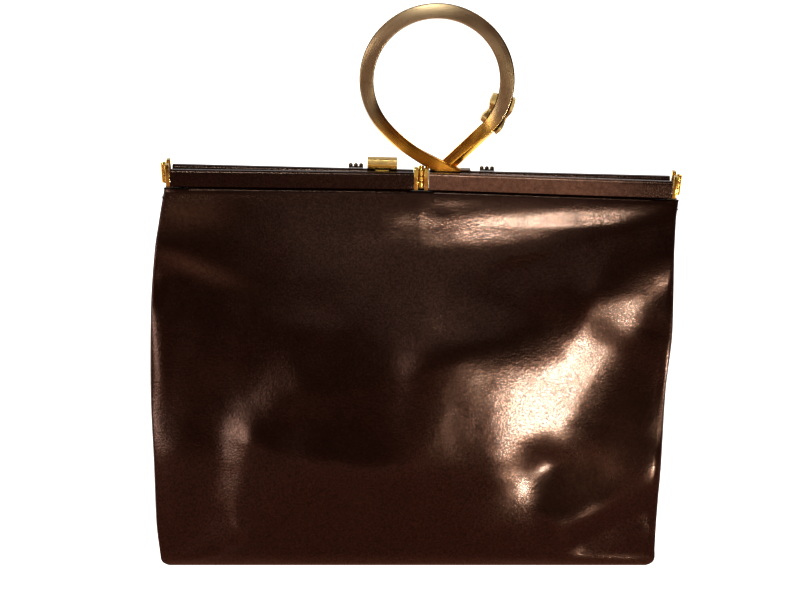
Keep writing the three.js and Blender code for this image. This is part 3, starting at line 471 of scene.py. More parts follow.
def add_loft(shape, rings):
    """A solid through a row of like outlines, capped at both ends."""
    loops = [[shape.verts.new(p) for p in ring] for ring in rings]
    count = len(rings[0])
    for low, high in zip(loops, loops[1:]):
        for j in range(count):
            k = (j + 1) % count
            shape.faces.new((low[j], low[k], high[k], high[j]))
    shape.faces.new(loops[0][::-1])
    shape.faces.new(loops[-1])


def add_box(shape, low, high, rounding):
    """A box with rounded edges."""
    middle = (Vector(low) + Vector(high)) / 2
    size = Vector(high) - Vector(low)
    place = Matrix.Translation(middle) @ Matrix.Diagonal(size).to_4x4()
    made = bmesh.ops.create_cube(shape, size=1, matrix=place)
    edges = {edge for vert in made["verts"] for edge in vert.link_edges}
    bmesh.ops.bevel(shape, geom=list(edges), offset=rounding, segments=3, profile=0.5, affect="EDGES")


def add_lathe(shape, profile, steps=32, closed=False):
    """A solid turned about the Z axis, a ring if the profile is closed, or else from axis to axis."""
    turned = profile if closed else profile[1:-1]
    loops = []
    for i in range(steps):
        angle = 2 * math.pi * i / steps
        loops.append([shape.verts.new((r * math.cos(angle), r * math.sin(angle), z)) for r, z in turned])
    count = len(turned)
    spans = count if closed else count - 1
    ends = [] if closed else [shape.verts.new((0, 0, profile[0][1])), shape.verts.new((0, 0, profile[-1][1]))]
    for i in range(steps):
        here, beyond = loops[i], loops[(i + 1) % steps]
        for j in range(spans):
            k = (j + 1) % count
            shape.faces.new((here[j], beyond[j], beyond[k], here[k]))
        if ends:
            shape.faces.new((ends[0], beyond[0], here[0]))
            shape.faces.new((ends[1], here[-1], beyond[-1]))


def moved(shape, matrix, since=0):
    """Moves the points that were added to a shape since it had that many."""
    shape.verts.ensure_lookup_table()
    bmesh.ops.transform(shape, matrix=matrix, verts=shape.verts[since:])


def make_piece(name, shape, material, body, nodes, sharp=math.radians(35)):
    """Turns a shape in millimetres into a piece that rides on a body and stands for CAD nodes."""
    bmesh.ops.recalc_face_normals(shape, faces=shape.faces[:])
    mesh = bpy.data.meshes.new(name)
    shape.to_mesh(mesh)
    shape.free()
    mesh.transform(TO_METRES)
    mesh.shade_smooth()
    mesh.set_sharp_from_angle(angle=sharp)
    mesh.materials.clear()
    mesh.materials.append(material)
    piece = bpy.data.objects.new(name, mesh)
    bpy.context.scene.collection.objects.link(piece)
    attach(piece, body)
    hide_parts(*nodes)
    return piece


# Node trees that repeat a shape or follow a path

def new_tree(name, inputs):
    """A tree with a geometry input, the named inputs and a geometry output."""
    tree = bpy.data.node_groups.new(name, "GeometryNodeTree")
    tree.interface.new_socket("Geometry", in_out="INPUT", socket_type="NodeSocketGeometry")
    for label, kind in inputs:
        tree.interface.new_socket(label, in_out="INPUT", socket_type=kind)
    tree.interface.new_socket("Geometry", in_out="OUTPUT", socket_type="NodeSocketGeometry")
    return tree


def add_node(tree, kind, inputs=None, **settings):
    """Adds a node, with its settings, its values and the sockets that feed it."""
    node = tree.nodes.new(kind)
    for key, value in settings.items():
        setattr(node, key, value)
    for key, value in (inputs or {}).items():
        if isinstance(value, bpy.types.NodeSocket):
            tree.links.new(value, node.inputs[key])
        else:
            node.inputs[key].default_value = value
    return node


def end_tree(tree, geometry, material):
    """Makes copies real, gives them their material and hands them out."""
    real = add_node(tree, "GeometryNodeRealizeInstances", {"Geometry": geometry})
    faced = add_node(tree, "GeometryNodeSetMaterial", {"Geometry": real.outputs[0], "Material": material})
    add_node(tree, "NodeGroupOutput", {"Geometry": faced.outputs[0]})


def run_tree(tree, mesh, values):
    """Runs a tree on a mesh and returns what it makes as a plain mesh."""
    carrier = bpy.data.objects.new(tree.name, mesh)
    bpy.context.scene.collection.objects.link(carrier)
    modifier = carrier.modifiers.new(tree.name, "NODES")
    modifier.node_group = tree
    for item in tree.interface.items_tree:
        if item.item_type == "SOCKET" and item.in_out == "INPUT" and item.name in values:
            modifier[item.identifier] = values[item.name]
    evaluated = carrier.evaluated_get(bpy.context.evaluated_depsgraph_get())
    made = bpy.data.meshes.new_from_object(evaluated)
    carrier.modifiers.remove(modifier)
    bpy.data.objects.remove(carrier)
    return made


def repeat_tree():
    """Copies of a shape along a straight line."""
    tree = new_tree("Repeat along a line", (
        ("Count", "NodeSocketInt"), ("Start", "NodeSocketVector"), ("Offset", "NodeSocketVector"),
        ("Material", "NodeSocketMaterial")))
    given = tree.nodes.new("NodeGroupInput").outputs
    line = add_node(tree, "GeometryNodeMeshLine", {
        "Count": given["Count"], "Start Location": given["Start"], "Offset": given["Offset"]})
    copies = add_node(tree, "GeometryNodeInstanceOnPoints", {
        "Points": line.outputs[0], "Instance": given["Geometry"]})
    end_tree(tree, copies.outputs[0], given["Material"])
    return tree


def stitch_tree():
    """Stitches along a path: short sunk threads, each a little askew."""
    tree = new_tree("Stitches along a path", (
        ("Pitch", "NodeSocketFloat"), ("Length", "NodeSocketFloat"), ("Thickness", "NodeSocketFloat"),
        ("Askew", "NodeSocketFloat"), ("Seed", "NodeSocketInt"), ("Material", "NodeSocketMaterial")))
    given = tree.nodes.new("NodeGroupInput").outputs
    path = add_node(tree, "GeometryNodeMeshToCurve", {"Mesh": given["Geometry"]})
    places = add_node(tree, "GeometryNodeCurveToPoints", {"Curve": path.outputs[0]}, mode="LENGTH")
    tree.links.new(given["Pitch"], places.inputs["Length"])
    thread = add_node(tree, "GeometryNodeMeshUVSphere", {"Segments": 8, "Rings": 6, "Radius": 0.5})
    size = add_node(tree, "ShaderNodeCombineXYZ", {
        "X": given["Thickness"], "Y": given["Thickness"], "Z": given["Length"]})
    askew = add_node(tree, "FunctionNodeRandomValue", {"Seed": given["Seed"]}, data_type="FLOAT")
    low = add_node(tree, "ShaderNodeMath", {0: 0.0, 1: given["Askew"]}, operation="SUBTRACT")
    tree.links.new(low.outputs[0], askew.inputs[2])
    tree.links.new(given["Askew"], askew.inputs[3])
    turn = add_node(tree, "ShaderNodeCombineXYZ", {"X": askew.outputs[1]})
    turned = add_node(tree, "FunctionNodeRotateRotation", {
        "Rotation": places.outputs["Rotation"], "Rotate By": turn.outputs[0]}, rotation_space="LOCAL")
    copies = add_node(tree, "GeometryNodeInstanceOnPoints", {
        "Points": places.outputs["Points"], "Instance": thread.outputs[0], "Rotation": turned.outputs[0],
        "Scale": size.outputs[0]})
    end_tree(tree, copies.outputs[0], given["Material"])
    return tree


def sweep_tree():
    """A bar with rounded edges along a path, which says how far and which ways its width and depth lie."""
    tree = new_tree("Bar along a path", (
        ("Width", "NodeSocketFloat"), ("Depth", "NodeSocketFloat"), ("Edge", "NodeSocketFloat"),
        ("Material", "NodeSocketMaterial")))
    given = tree.nodes.new("NodeGroupInput").outputs

    def named(name, kind):
        made = add_node(tree, "GeometryNodeInputNamedAttribute", {"Name": name}, data_type=kind)
        return made.outputs["Attribute"]

    def kept(geometry, name, value):
        return add_node(tree, "GeometryNodeStoreNamedAttribute", {
            "Geometry": geometry, "Name": name, "Value": value}, data_type="FLOAT").outputs[0]

    def scaled(way, reach):
        return add_node(tree, "ShaderNodeVectorMath", {0: way, "Scale": reach}, operation="SCALE").outputs[0]

    def summed(first, second):
        return add_node(tree, "ShaderNodeVectorMath", {0: first, 1: second}, operation="ADD").outputs[0]

    path = add_node(tree, "GeometryNodeMeshToCurve", {"Mesh": given["Geometry"]}).outputs[0]
    run = add_node(tree, "GeometryNodeSplineParameter").outputs["Length"]
    path = kept(path, "along", run)
    section = add_node(tree, "GeometryNodeCurvePrimitiveQuadrilateral", {
        "Width": given["Width"], "Height": given["Depth"]})
    rounded = add_node(tree, "GeometryNodeFilletCurve", {
        "Curve": section.outputs[0], "Count": 4, "Radius": given["Edge"]}, mode="POLY").outputs[0]
    spot = add_node(tree, "ShaderNodeSeparateXYZ", {
        "Vector": add_node(tree, "GeometryNodeInputPosition").outputs[0]}).outputs
    profile = kept(kept(rounded, "across", spot["X"]), "through", spot["Y"])
    swept = add_node(tree, "GeometryNodeCurveToMesh", {
        "Curve": path, "Profile Curve": profile, "Fill Caps": True}).outputs[0]
    aside = scaled(named("width_way", "FLOAT_VECTOR"), named("across", "FLOAT"))
    deep = scaled(named("depth_way", "FLOAT_VECTOR"), named("through", "FLOAT"))
    place = summed(named("centre", "FLOAT_VECTOR"), summed(aside, deep))
    shaped = add_node(tree, "GeometryNodeSetPosition", {"Geometry": swept, "Position": place}).outputs[0]
    end_tree(tree, shaped, given["Material"])
    return tree


# Finishes

class Finish:
    """A material's nodes, with short calls to add and wire them."""

    def __init__(self, name):
        self.material = bpy.data.materials.new(name)
        self.material.use_nodes = True
        self.tree = self.material.node_tree
        self.shader = self.tree.nodes["Principled BSDF"]
        self.place = self.tree.nodes.new("ShaderNodeTexCoord").outputs["Object"]

    def node(self, kind, inputs=None, **settings):
        return add_node(self.tree, kind, inputs, **settings)

    def set(self, **values):
        for key, value in values.items():
            socket = self.shader.inputs[key.replace("_", " ")]
            if isinstance(value, bpy.types.NodeSocket):
                self.tree.links.new(value, socket)
            else:
                socket.default_value = value

    def stretched(self, scale, turn=(0, 0, 0)):
        return self.node("ShaderNodeMapping", {
            "Vector": self.place, "Scale": scale, "Rotation": turn}).outputs[0]

    def noise(self, scale, detail=3.0, rough=0.5, place=None):
        return self.node("ShaderNodeTexNoise", {
            "Vector": place or self.place, "Scale": scale, "Detail": detail,
            "Roughness": rough}).outputs["Fac"]

    def cells(self, scale):
        return self.node("ShaderNodeTexVoronoi", {"Vector": self.place, "Scale": scale}).outputs["Distance"]

    def spread(self, value, low, high, to_low=0.0, to_high=1.0):
        return self.node("ShaderNodeMapRange", {
            "Value": value, "From Min": low, "From Max": high, "To Min": to_low,
            "To Max": to_high}).outputs[0]

    def sum(self, first, second, operation="ADD"):
        return self.node("ShaderNodeMath", {0: first, 1: second}, operation=operation).outputs[0]

    def mixed(self, share, first, second):
        made = self.node("ShaderNodeMix", {0: share}, data_type="RGBA")
        for index, colour in ((6, first), (7, second)):
            if isinstance(colour, bpy.types.NodeSocket):
                self.tree.links.new(colour, made.inputs[index])
            else:
                made.inputs[index].default_value = (*colour, 1)
        return made.outputs[2]

    def attribute(self, name):
        return self.node("ShaderNodeAttribute", attribute_name=name).outputs["Fac"]

    def bumped(self, height, distance, strength=1.0, below=None):
        inputs = {"Height": height, "Distance": distance, "Strength": strength}
        if below is not None:
            inputs["Normal"] = below
        return self.node("ShaderNodeBump", inputs).outputs[0]


def leather_finish(name, settings, roughness, grain, worn):
    """Polished dark calf: mottled brown, fine pebbled grain, lighter where rubbing shows and where sheen is
    painted, less shine where its attribute says so and under the bars as painted shade.
    """
    finish = Finish(name)
    mottle = finish.spread(finish.noise(26, 5, 0.6), 0.32, 0.68)
    colour = finish.mixed(mottle, settings.dark, settings.warm)
    flecks = finish.spread(finish.noise(420, 3), 0.3, 0.7, 0.5, 1)
    # The lighter colour stands for real rubbing and for painted sheen: the front's stated spots and the right
    # front bar
    rubbed_and_sheen = finish.sum(finish.attribute("worn"), flecks, "MULTIPLY")
    colour = finish.mixed(rubbed_and_sheen, colour, worn)
    patches = finish.spread(finish.noise(70, 4), 0.3, 0.7, roughness - 0.015, roughness + 0.02)
    rough = finish.sum(patches, finish.spread(finish.noise(1500, 2), 0.3, 0.7, -0.02, 0.03))
    pebbles = finish.bumped(finish.cells(1 / grain), 0.00016, 0.2)
    fibres = finish.noise(1, 3, 0.7, finish.stretched((1500, 1500, 420), (0.3, 0.5, 0.2)))
    hairs = finish.bumped(fibres, 0.0001, 0.4, pebbles)
    fine = finish.noise(900, 3, 0.75)
    soft = finish.bumped(fine, 0.0001, 0.5, hairs)
    # Shine is taken off where set, and under the bars as painted shade
    shown = finish.spread(finish.attribute("matte"), 0, 1, 1, 0)
    sheen = finish.sum(finish.spread(fine, 0.4, 0.6, 0.45, 1.0), shown, "MULTIPLY")
    polish = finish.sum(sheen, settings.polish, "MULTIPLY")
    finish.set(Base_Color=colour, Roughness=rough, Normal=soft, Specular_Tint=(*settings.shine, 1),
               Specular_IOR_Level=sheen, Coat_Weight=polish, Coat_Roughness=0.75 * roughness,
               Coat_Normal=hairs)
    return finish.material


def gilt_finish(name, settings):
    """Polished gilt brass with fine scratches and small tarnished spots."""
    finish = Finish(name)
    spots = finish.spread(finish.noise(520, 4, 0.65), 0.56, 0.72)
    shade = finish.spread(finish.noise(160, 3), 0.3, 0.7)
    pale = [min(1, 1.12 * c + 0.03) for c in settings.gilt]
    colour = finish.mixed(shade, settings.gilt, pale)
    colour = finish.mixed(spots, colour, settings.tarnish)
    rough = finish.sum(finish.spread(finish.noise(240, 3), 0.3, 0.7, 0.16, 0.30), spots)
    rough = finish.spread(rough, 0, 1.3, 0.0, 0.75)
    scratches = finish.noise(1, 2, 0.5, finish.stretched((4000, 600, 600), (0.2, 0.3, 0.1)))
    finish.set(Base_Color=colour, Metallic=1.0, Roughness=rough,
               Normal=finish.bumped(scratches, 0.00002, 0.5))
    return finish.material


def ring_finish(name, settings):
    """Brass brushed along the ring: brown at its sides, paler at its top as a painted highlight, gilded on
    its arms, darker along part of the left arm as painted shade.
    """
    finish = Finish(name)
    spot = finish.node("ShaderNodeCombineXYZ", {
        "X": finish.sum(finish.attribute("along"), 0.035, "MULTIPLY"),
        "Y": finish.sum(finish.attribute("across"), 3.0, "MULTIPLY"),
        "Z": finish.sum(finish.attribute("through"), 3.0, "MULTIPLY")}).outputs[0]
    streaks = finish.noise(1, 3, 0.6, spot)
    cloud = finish.spread(finish.noise(75, 4, 0.6), 0.3, 0.72)
    brown = [0.46 * settings.ring[0], 0.46 * settings.ring[1], 0.42 * settings.ring[2]]
    colour = finish.mixed(cloud, brown, [0.75 * c for c in brown])
    # A paler colour over the ring's top: a painted highlight of its brushed brass
    colour = finish.mixed(finish.attribute("held"), colour, [0.57 * c for c in settings.ring])
    colour = finish.mixed(finish.attribute("gilded"), colour, settings.arm)
    # A darker copy of the arm gold along part of the left arm: painted shade
    deep = [share * c for share, c in zip((0.38, 0.31, 0.22), settings.arm)]
    colour = finish.mixed(finish.attribute("dull"), colour, deep)
    spots = finish.spread(finish.noise(600, 3, 0.6), 0.62, 0.74, 0, 0.8)
    colour = finish.mixed(spots, colour, settings.tarnish)
    rough = finish.sum(finish.spread(finish.noise(90, 3), 0.3, 0.7, 0.20, 0.27),
                       finish.spread(streaks, 0.3, 0.7, -0.04, 0.06))
    rough = finish.sum(rough, finish.spread(finish.attribute("held"), 0, 1, 0, 0.12))
    finish.set(Base_Color=colour, Metallic=1.0, Roughness=rough, Normal=finish.bumped(streaks, 0.0001, 0.35))
    return finish.material


def satin_finish(name, settings):
    """Pale satin gilt, brushed from side to side."""
    finish = Finish(name)
    streaks = finish.noise(1, 3, 0.6, finish.stretched((130, 3600, 3600)))
    cloud = finish.spread(finish.noise(300, 3), 0.35, 0.65)
    pale = [min(1, 0.85 * c + 0.14) for c in settings.gilt]
    colour = finish.mixed(cloud, pale, [0.8 * c for c in pale])
    stripe = finish.attribute("gilded")
    colour = finish.mixed(stripe, colour, settings.gilt)
    rough = finish.sum(finish.spread(streaks, 0.3, 0.7, 0.36, 0.5), finish.spread(stripe, 0, 1, 0, -0.2))
    finish.set(Base_Color=colour, Metallic=1.0, Roughness=rough, Normal=finish.bumped(streaks, 0.00006, 0.4))
    return finish.material


def bronze_finish(name, settings):
    """Dark tarnished bronze."""
    finish = Finish(name)
    cloud = finish.spread(finish.noise(700, 4), 0.35, 0.65)
    colour = finish.mixed(cloud, settings.bronze, [1.9 * c for c in settings.bronze])
    rough = finish.spread(finish.noise(900, 3), 0.3, 0.7, 0.28, 0.5)
    finish.set(Base_Color=colour, Metallic=1.0, Roughness=rough,
               Normal=finish.bumped(finish.noise(1800, 2), 0.00004, 0.4))
    return finish.material


def thread_finish(name, colour):
    """Waxed sewing thread with a twist."""
    finish = Finish(name)
    strands = finish.noise(2600, 2, 0.5)
    shade = finish.mixed(finish.spread(strands, 0.3, 0.7), [0.6 * c for c in colour], colour)
    finish.set(Base_Color=shade, Roughness=finish.spread(strands, 0.3, 0.7, 0.5, 0.7),
               Normal=finish.bumped(strands, 0.00005, 0.6))
    return finish.material


def finish_named(name, make, *arguments):
    """A finish that several pieces share is made once."""
    return bpy.data.materials.get(name) or make(name, *arguments)


def leather():
    settings = bpy.context.scene.handbag_leather
    return finish_named("Polished leather", leather_finish, settings, settings.roughness, settings.grain,
                        settings.worn)


def gilt():
    return finish_named("Gilt brass", gilt_finish, bpy.context.scene.handbag_metal)


def satin_gilt():
    return finish_named("Satin gilt", satin_finish, bpy.context.scene.handbag_metal)


# The leather body

CORNER_TURNS = np.concatenate([[0, 0.012, 0.03, 0.055, 0.085], np.linspace(0.12, 0.97, 26)])
FLAT_STEPS = {"front": 150, "back": 110}
WALL_STEPS = {"front": 150, "back": 110}
GUSSET_STEPS = 56
WALL_SMOOTH = math.radians(60)
BASE_EDGE = 0.6
# Shine is taken off the leather from just below where it tucks under the bars: painted shade
SHADE_BELOW_TUCK = (-0.7, -0.1)
WEAR = {"crest": 0.2, "low": 0.6, "seams": 0.25}
CREST_BEND = 0.12
CREST_ABOVE = (6, 14)
WEAR_LOW = (3, 11)
WEAR_SEAMS = (0.3, 2.5)


def wall_rows(steps):
    """Heights up a wall and how far each lies inwards: round the bottom edge, then straight up."""
    turn = np.linspace(0, math.pi / 2, ROLL_STEPS, endpoint=False)
    heights = np.concatenate([GAP + ROLL * (1 - np.cos(turn)), np.linspace(GAP + ROLL, WALL_TOP, steps)])
    inset = np.concatenate([ROLL * (1 - np.sin(turn)), np.zeros(steps)])
    return heights[:, None], inset[:, None]


def panel_grid(face):
    """Points of the front or back panel in its folds, with their normals."""
    side = -1 if face == "front" else 1
    folds = FRONT_FOLDS if face == "front" else BACK_FOLDS
    heights, inset = wall_rows(WALL_STEPS[face])
    tuck = np.array(TUCK_RISE)[:, None]
    rows = np.concatenate([heights, TUCK_FROM + 0 * tuck])
    inset = np.concatenate([inset, 0 * tuck])
    left = read_column(SECTIONS, "left", rows) + inset
    right = read_column(SECTIONS, "right", rows) - inset
    corner_left = read_column(SECTIONS, "corner_left", rows)
    corner_right = read_column(SECTIONS, "corner_right", rows)
    inwards = 1 - np.cos(CORNER_TURNS * math.pi / 2)[None, :]
    flat = np.linspace(0, 1, FLAT_STEPS[face])[None, :]
    flat_from = left + corner_left
    flat_to = right - corner_right
    x = np.concatenate([left + corner_left * inwards, flat_from + (flat_to - flat_from) * flat,
                        right - (corner_right * inwards)[:, ::-1]], axis=1)
    corner = np.concatenate([CORNER_TURNS, np.ones(FLAT_STEPS[face]), CORNER_TURNS[::-1]])[None, :]
    turn = np.sin(corner * math.pi / 2)
    height = rows + 0 * x
    from_hinge = np.abs(x - FRAME_X)
    held = (from_hinge > HINGE_CLEAR) & (from_hinge < FRAME_SPAN / 2 - BAR_FROM_END - TUCK_END)
    tucked = np.where(held, TUCK_TO - TUCK_FROM, LOOSE_TUCK)
    height[len(heights):] += tuck * tucked[len(heights):]
    seam = read_column(SECTIONS, "seam", rows) - inset
    flat_depth = read_column(SECTIONS, "face", rows) - inset
    tuck_in = np.concatenate([0 * heights, np.array(TUCK_IN)[:, None]])
    flat_depth = flat_depth + (TUCK_FACE - flat_depth) * tuck_in
    y = side * (seam + (flat_depth - seam) * turn)
    if face == "front":
        y = y + front_kink(x, height)
    plain = np.stack([x, y, risen_to(x, height)], axis=2)
    normals = grid_normals(plain, -side)
    fade = smoothstep(corner, 0, FADE_SEAM_TURN) * smoothstep(rows, *FADE_BASE)
    fade = fade * (1 - smoothstep(rows, *FADE_BARS))
    lift = fold_lift(folds, x, rows + 0 * x) * fade
    soft = sum(wave.height * unevenness(plain, wave) for wave in PANEL_WAVES)
    points = plain + normals * (lift + soft * fade)[:, :, None]
    return points, grid_normals(points, -side)


def gusset_grid(side):
    """Points of a folded side (side -1 left, +1 right), from the front seam to the back seam."""
    heights, inset = wall_rows(WALL_STEPS["back"])
    seam_x = read_column(SECTIONS, "left" if side < 0 else "right", heights) - side * inset
    seam = read_column(SECTIONS, "seam", heights) - inset
    fold = read_column(SECTIONS, "fold", heights)
    t = np.linspace(0, 1, GUSSET_STEPS)[None, :]
    folded = smoothstep(np.minimum(t, 1 - t), GUSSET_MARGIN, 0.5)
    x = seam_x - side * fold * folded
    y = seam * (2 * t - 1)
    z = risen_to(seam_x, heights) + 0 * x
    points = np.stack([x, y, z], axis=2)
    normals = grid_normals(points, side)
    fade = smoothstep(np.minimum(t, 1 - t), 0, GUSSET_FADE) * smoothstep(heights, *FADE_BASE)
    soft = GUSSET_WAVE.height * unevenness(points, GUSSET_WAVE) * fade
    points = points + normals * soft[:, :, None]
    return points, grid_normals(points, side)


def seam_distance(points):
    """How far each point of a grid lies from its side seams, along its row."""
    steps = np.linalg.norm(np.diff(points, axis=1), axis=2)
    gone = np.concatenate([np.zeros((len(points), 1)), np.cumsum(steps, axis=1)], axis=1)
    return np.minimum(gone, gone[:, -1:] - gone)


def leather_wall(name, points, normals, thickness, worn):
    """A leather wall of that thickness, dipped at its side seams."""
    near = 1 - smoothstep(seam_distance(points), 0, SEAM_WIDE)
    outer = points - normals * (SEAM_DIP * near)[:, :, None]
    inner = points - normals * thickness
    for grid in (outer, inner):
        grid[:, 0] += SEAM_GAP * unit(grid[:, 1] - grid[:, 0])
        grid[:, -1] += SEAM_GAP * unit(grid[:, -2] - grid[:, -1])
    shape = bmesh.new()
    add_grid(shape, outer, inner)
    piece = make_piece(name, shape, leather(), "bag", (name,), WALL_SMOOTH)
    # The tucked top loses its shine: painted shade under the bars
    matte = smoothstep(points[:, :, 2] - risen_to(points[:, :, 0], TUCK_FROM), *SHADE_BELOW_TUCK)
    for layer, values in (("worn", worn), ("matte", matte)):
        both = np.concatenate([values.ravel(), 0 * values.ravel()]).astype(np.float32)
        piece.data.attributes.new(layer, "FLOAT", "POINT").data.foreach_set("value", both)
    return piece


def unit(vectors):
    return vectors / np.maximum(np.linalg.norm(vectors, axis=-1, keepdims=True), 1e-9)


def wear_and_sheen_of(points, normals, spots=()):
    """Rubbed places: the bottom edge, the side seams and the crests of sharp folds, with painted sheen at
    stated spots.
    """
    bend = -np.sum(np.gradient(np.gradient(points, axis=1), axis=1) * normals, axis=2)
    crest = np.clip(bend / CREST_BEND, 0, 1) * smoothstep(points[:, :, 2], *CREST_ABOVE)
    low = 1 - smoothstep(points[:, :, 2], *WEAR_LOW)
    seams = 1 - smoothstep(seam_distance(points), *WEAR_SEAMS)
    worn = WEAR["crest"] * crest + WEAR["low"] * low + WEAR["seams"] * seams
    # The stated spots paint sheen into the leather's colour
    for spot in spots:
        along = (points[:, :, 0] - spot.x) / spot.wide
        up = (points[:, :, 2] - spot.height - spot.slope * (points[:, :, 0] - spot.x)) / spot.tall
        worn = worn + spot.share * np.exp(-along ** 2 - up ** 2)
    return np.clip(worn, 0, 1)


class HANDBAG_OT_leather_body(bpy.types.Operator):
    """Build the leather walls: front, back, folded sides and base"""

    bl_idname = "handbag.leather_body"
    bl_label = "Leather body"

    def execute(self, context):
        thickness = context.scene.handbag_leather.thickness / MM
        for face in ("front", "back"):
            points, normals = panel_grid(face)
            spots = PAINTED_SHEEN_SPOTS if face == "front" else ()
            leather_wall(f"{face}_panel", points, normals, thickness, wear_and_sheen_of(points, normals, spots))
        for name, side in (("gusset_left", -1), ("gusset_right", 1)):
            points, normals = gusset_grid(side)
            leather_wall(name, points, normals, thickness, wear_and_sheen_of(points, normals))
        low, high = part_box("base_panel")
        shape = bmesh.new()
        add_box(shape, low / MM, high / MM, BASE_EDGE)
        base = make_piece("base_panel", shape, leather(), "bag", ("base_panel",))
        base.data.attributes.new("worn", "FLOAT", "POINT")
        return {"FINISHED"}


# The frame's bars

BAR_STEPS = 150
BAR_SIDE_HEIGHTS = (-7.5, -6, -4.5, -3)
BAR_SMOOTH = math.radians(50)
BAR_ROUGHER = 0.06
BAR_GRAIN = 0.8
GROOVE_LIP = 0.2
PUCKER = {"left": 0.3, "right": 0.62}
PUCKER_REACH = 26
PUCKER_DROP = (3, 9)
RIPPLE_SIZE = np.array([3.2, 4, 5])
SLACK = 0.1
SLACK_SIZE = np.array([14, 5, 9])
SLACK_SEED = np.array([0, 9, 0])
# The right front bar is lightened towards the middle hinge: rubbed leather and painted sheen
BAR_RUB_AND_SHEEN = {"left": 0.0, "right": 0.95}
RUB_FADE = (0.02, 0.4)
MATTE = {"left": 0.4, "right": 0.0}


def bar_outline():
    """A bar's section in depth and height: rounded above, with a groove below."""
    half = BAR_DEPTH / 2
    foot = -BAR_HEIGHT
    points = [(-GROOVE_HALF, foot), (-GROOVE_HALF, foot + GROOVE_DEPTH), (GROOVE_HALF, foot + GROOVE_DEPTH),
              (GROOVE_HALF, foot)]

    def arc(y, z, radius, start, end, steps, tall=None):
        for angle in np.radians(np.linspace(start, end, steps)):
            points.append((y + radius * math.cos(angle), z + (tall or radius) * math.sin(angle)))

    arc(half - BAR_FOOT_ROUND, foot + BAR_FOOT_ROUND, BAR_FOOT_ROUND, -90, 0, 6)
    points.extend((half, z) for z in BAR_SIDE_HEIGHTS)
    arc(half - BAR_TOP_ROUND, -BAR_TOP_TALL, BAR_TOP_ROUND, 0, 90, 9, BAR_TOP_TALL)
    arc(BAR_TOP_ROUND - half, -BAR_TOP_TALL, BAR_TOP_ROUND, 90, 180, 9, BAR_TOP_TALL)
    points.extend((-half, z) for z in BAR_SIDE_HEIGHTS[::-1])
    arc(BAR_FOOT_ROUND - half, foot + BAR_FOOT_ROUND, BAR_FOOT_ROUND, 180, 270, 6)
    return np.array(points)


def bar_ends(face):
    """Where the bars of a face start and end along their own length, and how far they are turned."""
    end_line = -BAR_END_LINE if face == "front" else BAR_END_LINE
    across = end_line - BAR_MIDDLE_LINE[face]
    length = math.hypot(FRAME_SPAN / 2, across)
    return BAR_FROM_MIDDLE, length - BAR_FROM_END, math.atan2(across, FRAME_SPAN / 2)


def bar_place(face, side):
    turn = bar_ends(face)[2]
    return (FRAME_PLACE @ Matrix.Translation((0, BAR_MIDDLE_LINE[face], 0))
            @ Matrix.Rotation(side * turn, 4, "Z"))


class HANDBAG_OT_frame_bars(bpy.types.Operator):
    """Build the four leather-covered bars of the frame"""

    bl_idname = "handbag.frame_bars"
    bl_label = "Frame bars"

    def execute(self, context):
        settings = context.scene.handbag_leather
        material = finish_named("Bar leather", leather_finish, settings, settings.roughness + BAR_ROUGHER,
                                BAR_GRAIN * settings.grain, settings.rubbed_and_sheen)
        outline = bar_outline()
        for face in ("front", "back"):
            for name, side in (("left", -1), ("right", 1)):
                start, end, _ = bar_ends(face)
                rings = []
                for along in np.linspace(start, end, BAR_STEPS):
                    ring = np.column_stack([np.full(len(outline), side * along), outline])
                    pucker = math.exp(-((along - start) / PUCKER_REACH) ** 2) if face == "front" else 0.0
                    for point in ring:
                        outside = abs(point[1]) > GROOVE_HALF + GROOVE_LIP
                        low = smoothstep(-point[2], *PUCKER_DROP)
                        ripple = noise.noise(Vector(point / RIPPLE_SIZE))
                        slack = noise.noise(Vector(point / SLACK_SIZE + SLACK_SEED))
                        bulge = SLACK * slack + PUCKER[name] * pucker * low * ripple
                        point[1] += math.copysign(bulge, point[1]) if outside else 0
                    rings.append(ring)
                shape = bmesh.new()
                add_loft(shape, rings)
                moved(shape, bar_place(face, side))
                piece = make_piece(f"bar_{face}_{name}", shape, material, "bag",
                                   (f"bar_{face}_{name}",), BAR_SMOOTH)
                along = np.repeat(np.linspace(1, 0, BAR_STEPS), len(outline))
                # Rubbing and painted sheen, strongest at the middle hinge
                rubbed_and_sheen = BAR_RUB_AND_SHEEN[name] * smoothstep(along, *RUB_FADE) if face == "front" else 0 * along
                matte = MATTE[name] + 0 * along
                for layer, values in (("worn", rubbed_and_sheen), ("matte", matte)):
                    piece.data.attributes.new(layer, "FLOAT", "POINT").data.foreach_set(
                        "value", values.astype(np.float32))
        return {"FINISHED"}


# The hinges

KNUCKLE_EDGE = 0.1
STRAP_FROM_BORE = 0.1
STRAP_INSET = 0.05
STRAP_EDGE = 0.15
PLATE_EDGE = 0.22
PIN_DOME = 0.7
PIN_DOME_STEPS = 7


def knuckle_spans():
    low = HINGE_FOOT + HINGE_HEAD + GAP
    high = HINGE_TOP - HINGE_HEAD - GAP
    tall = (high - low - GAP * (KNUCKLES - 1)) / KNUCKLES
    return low, tall


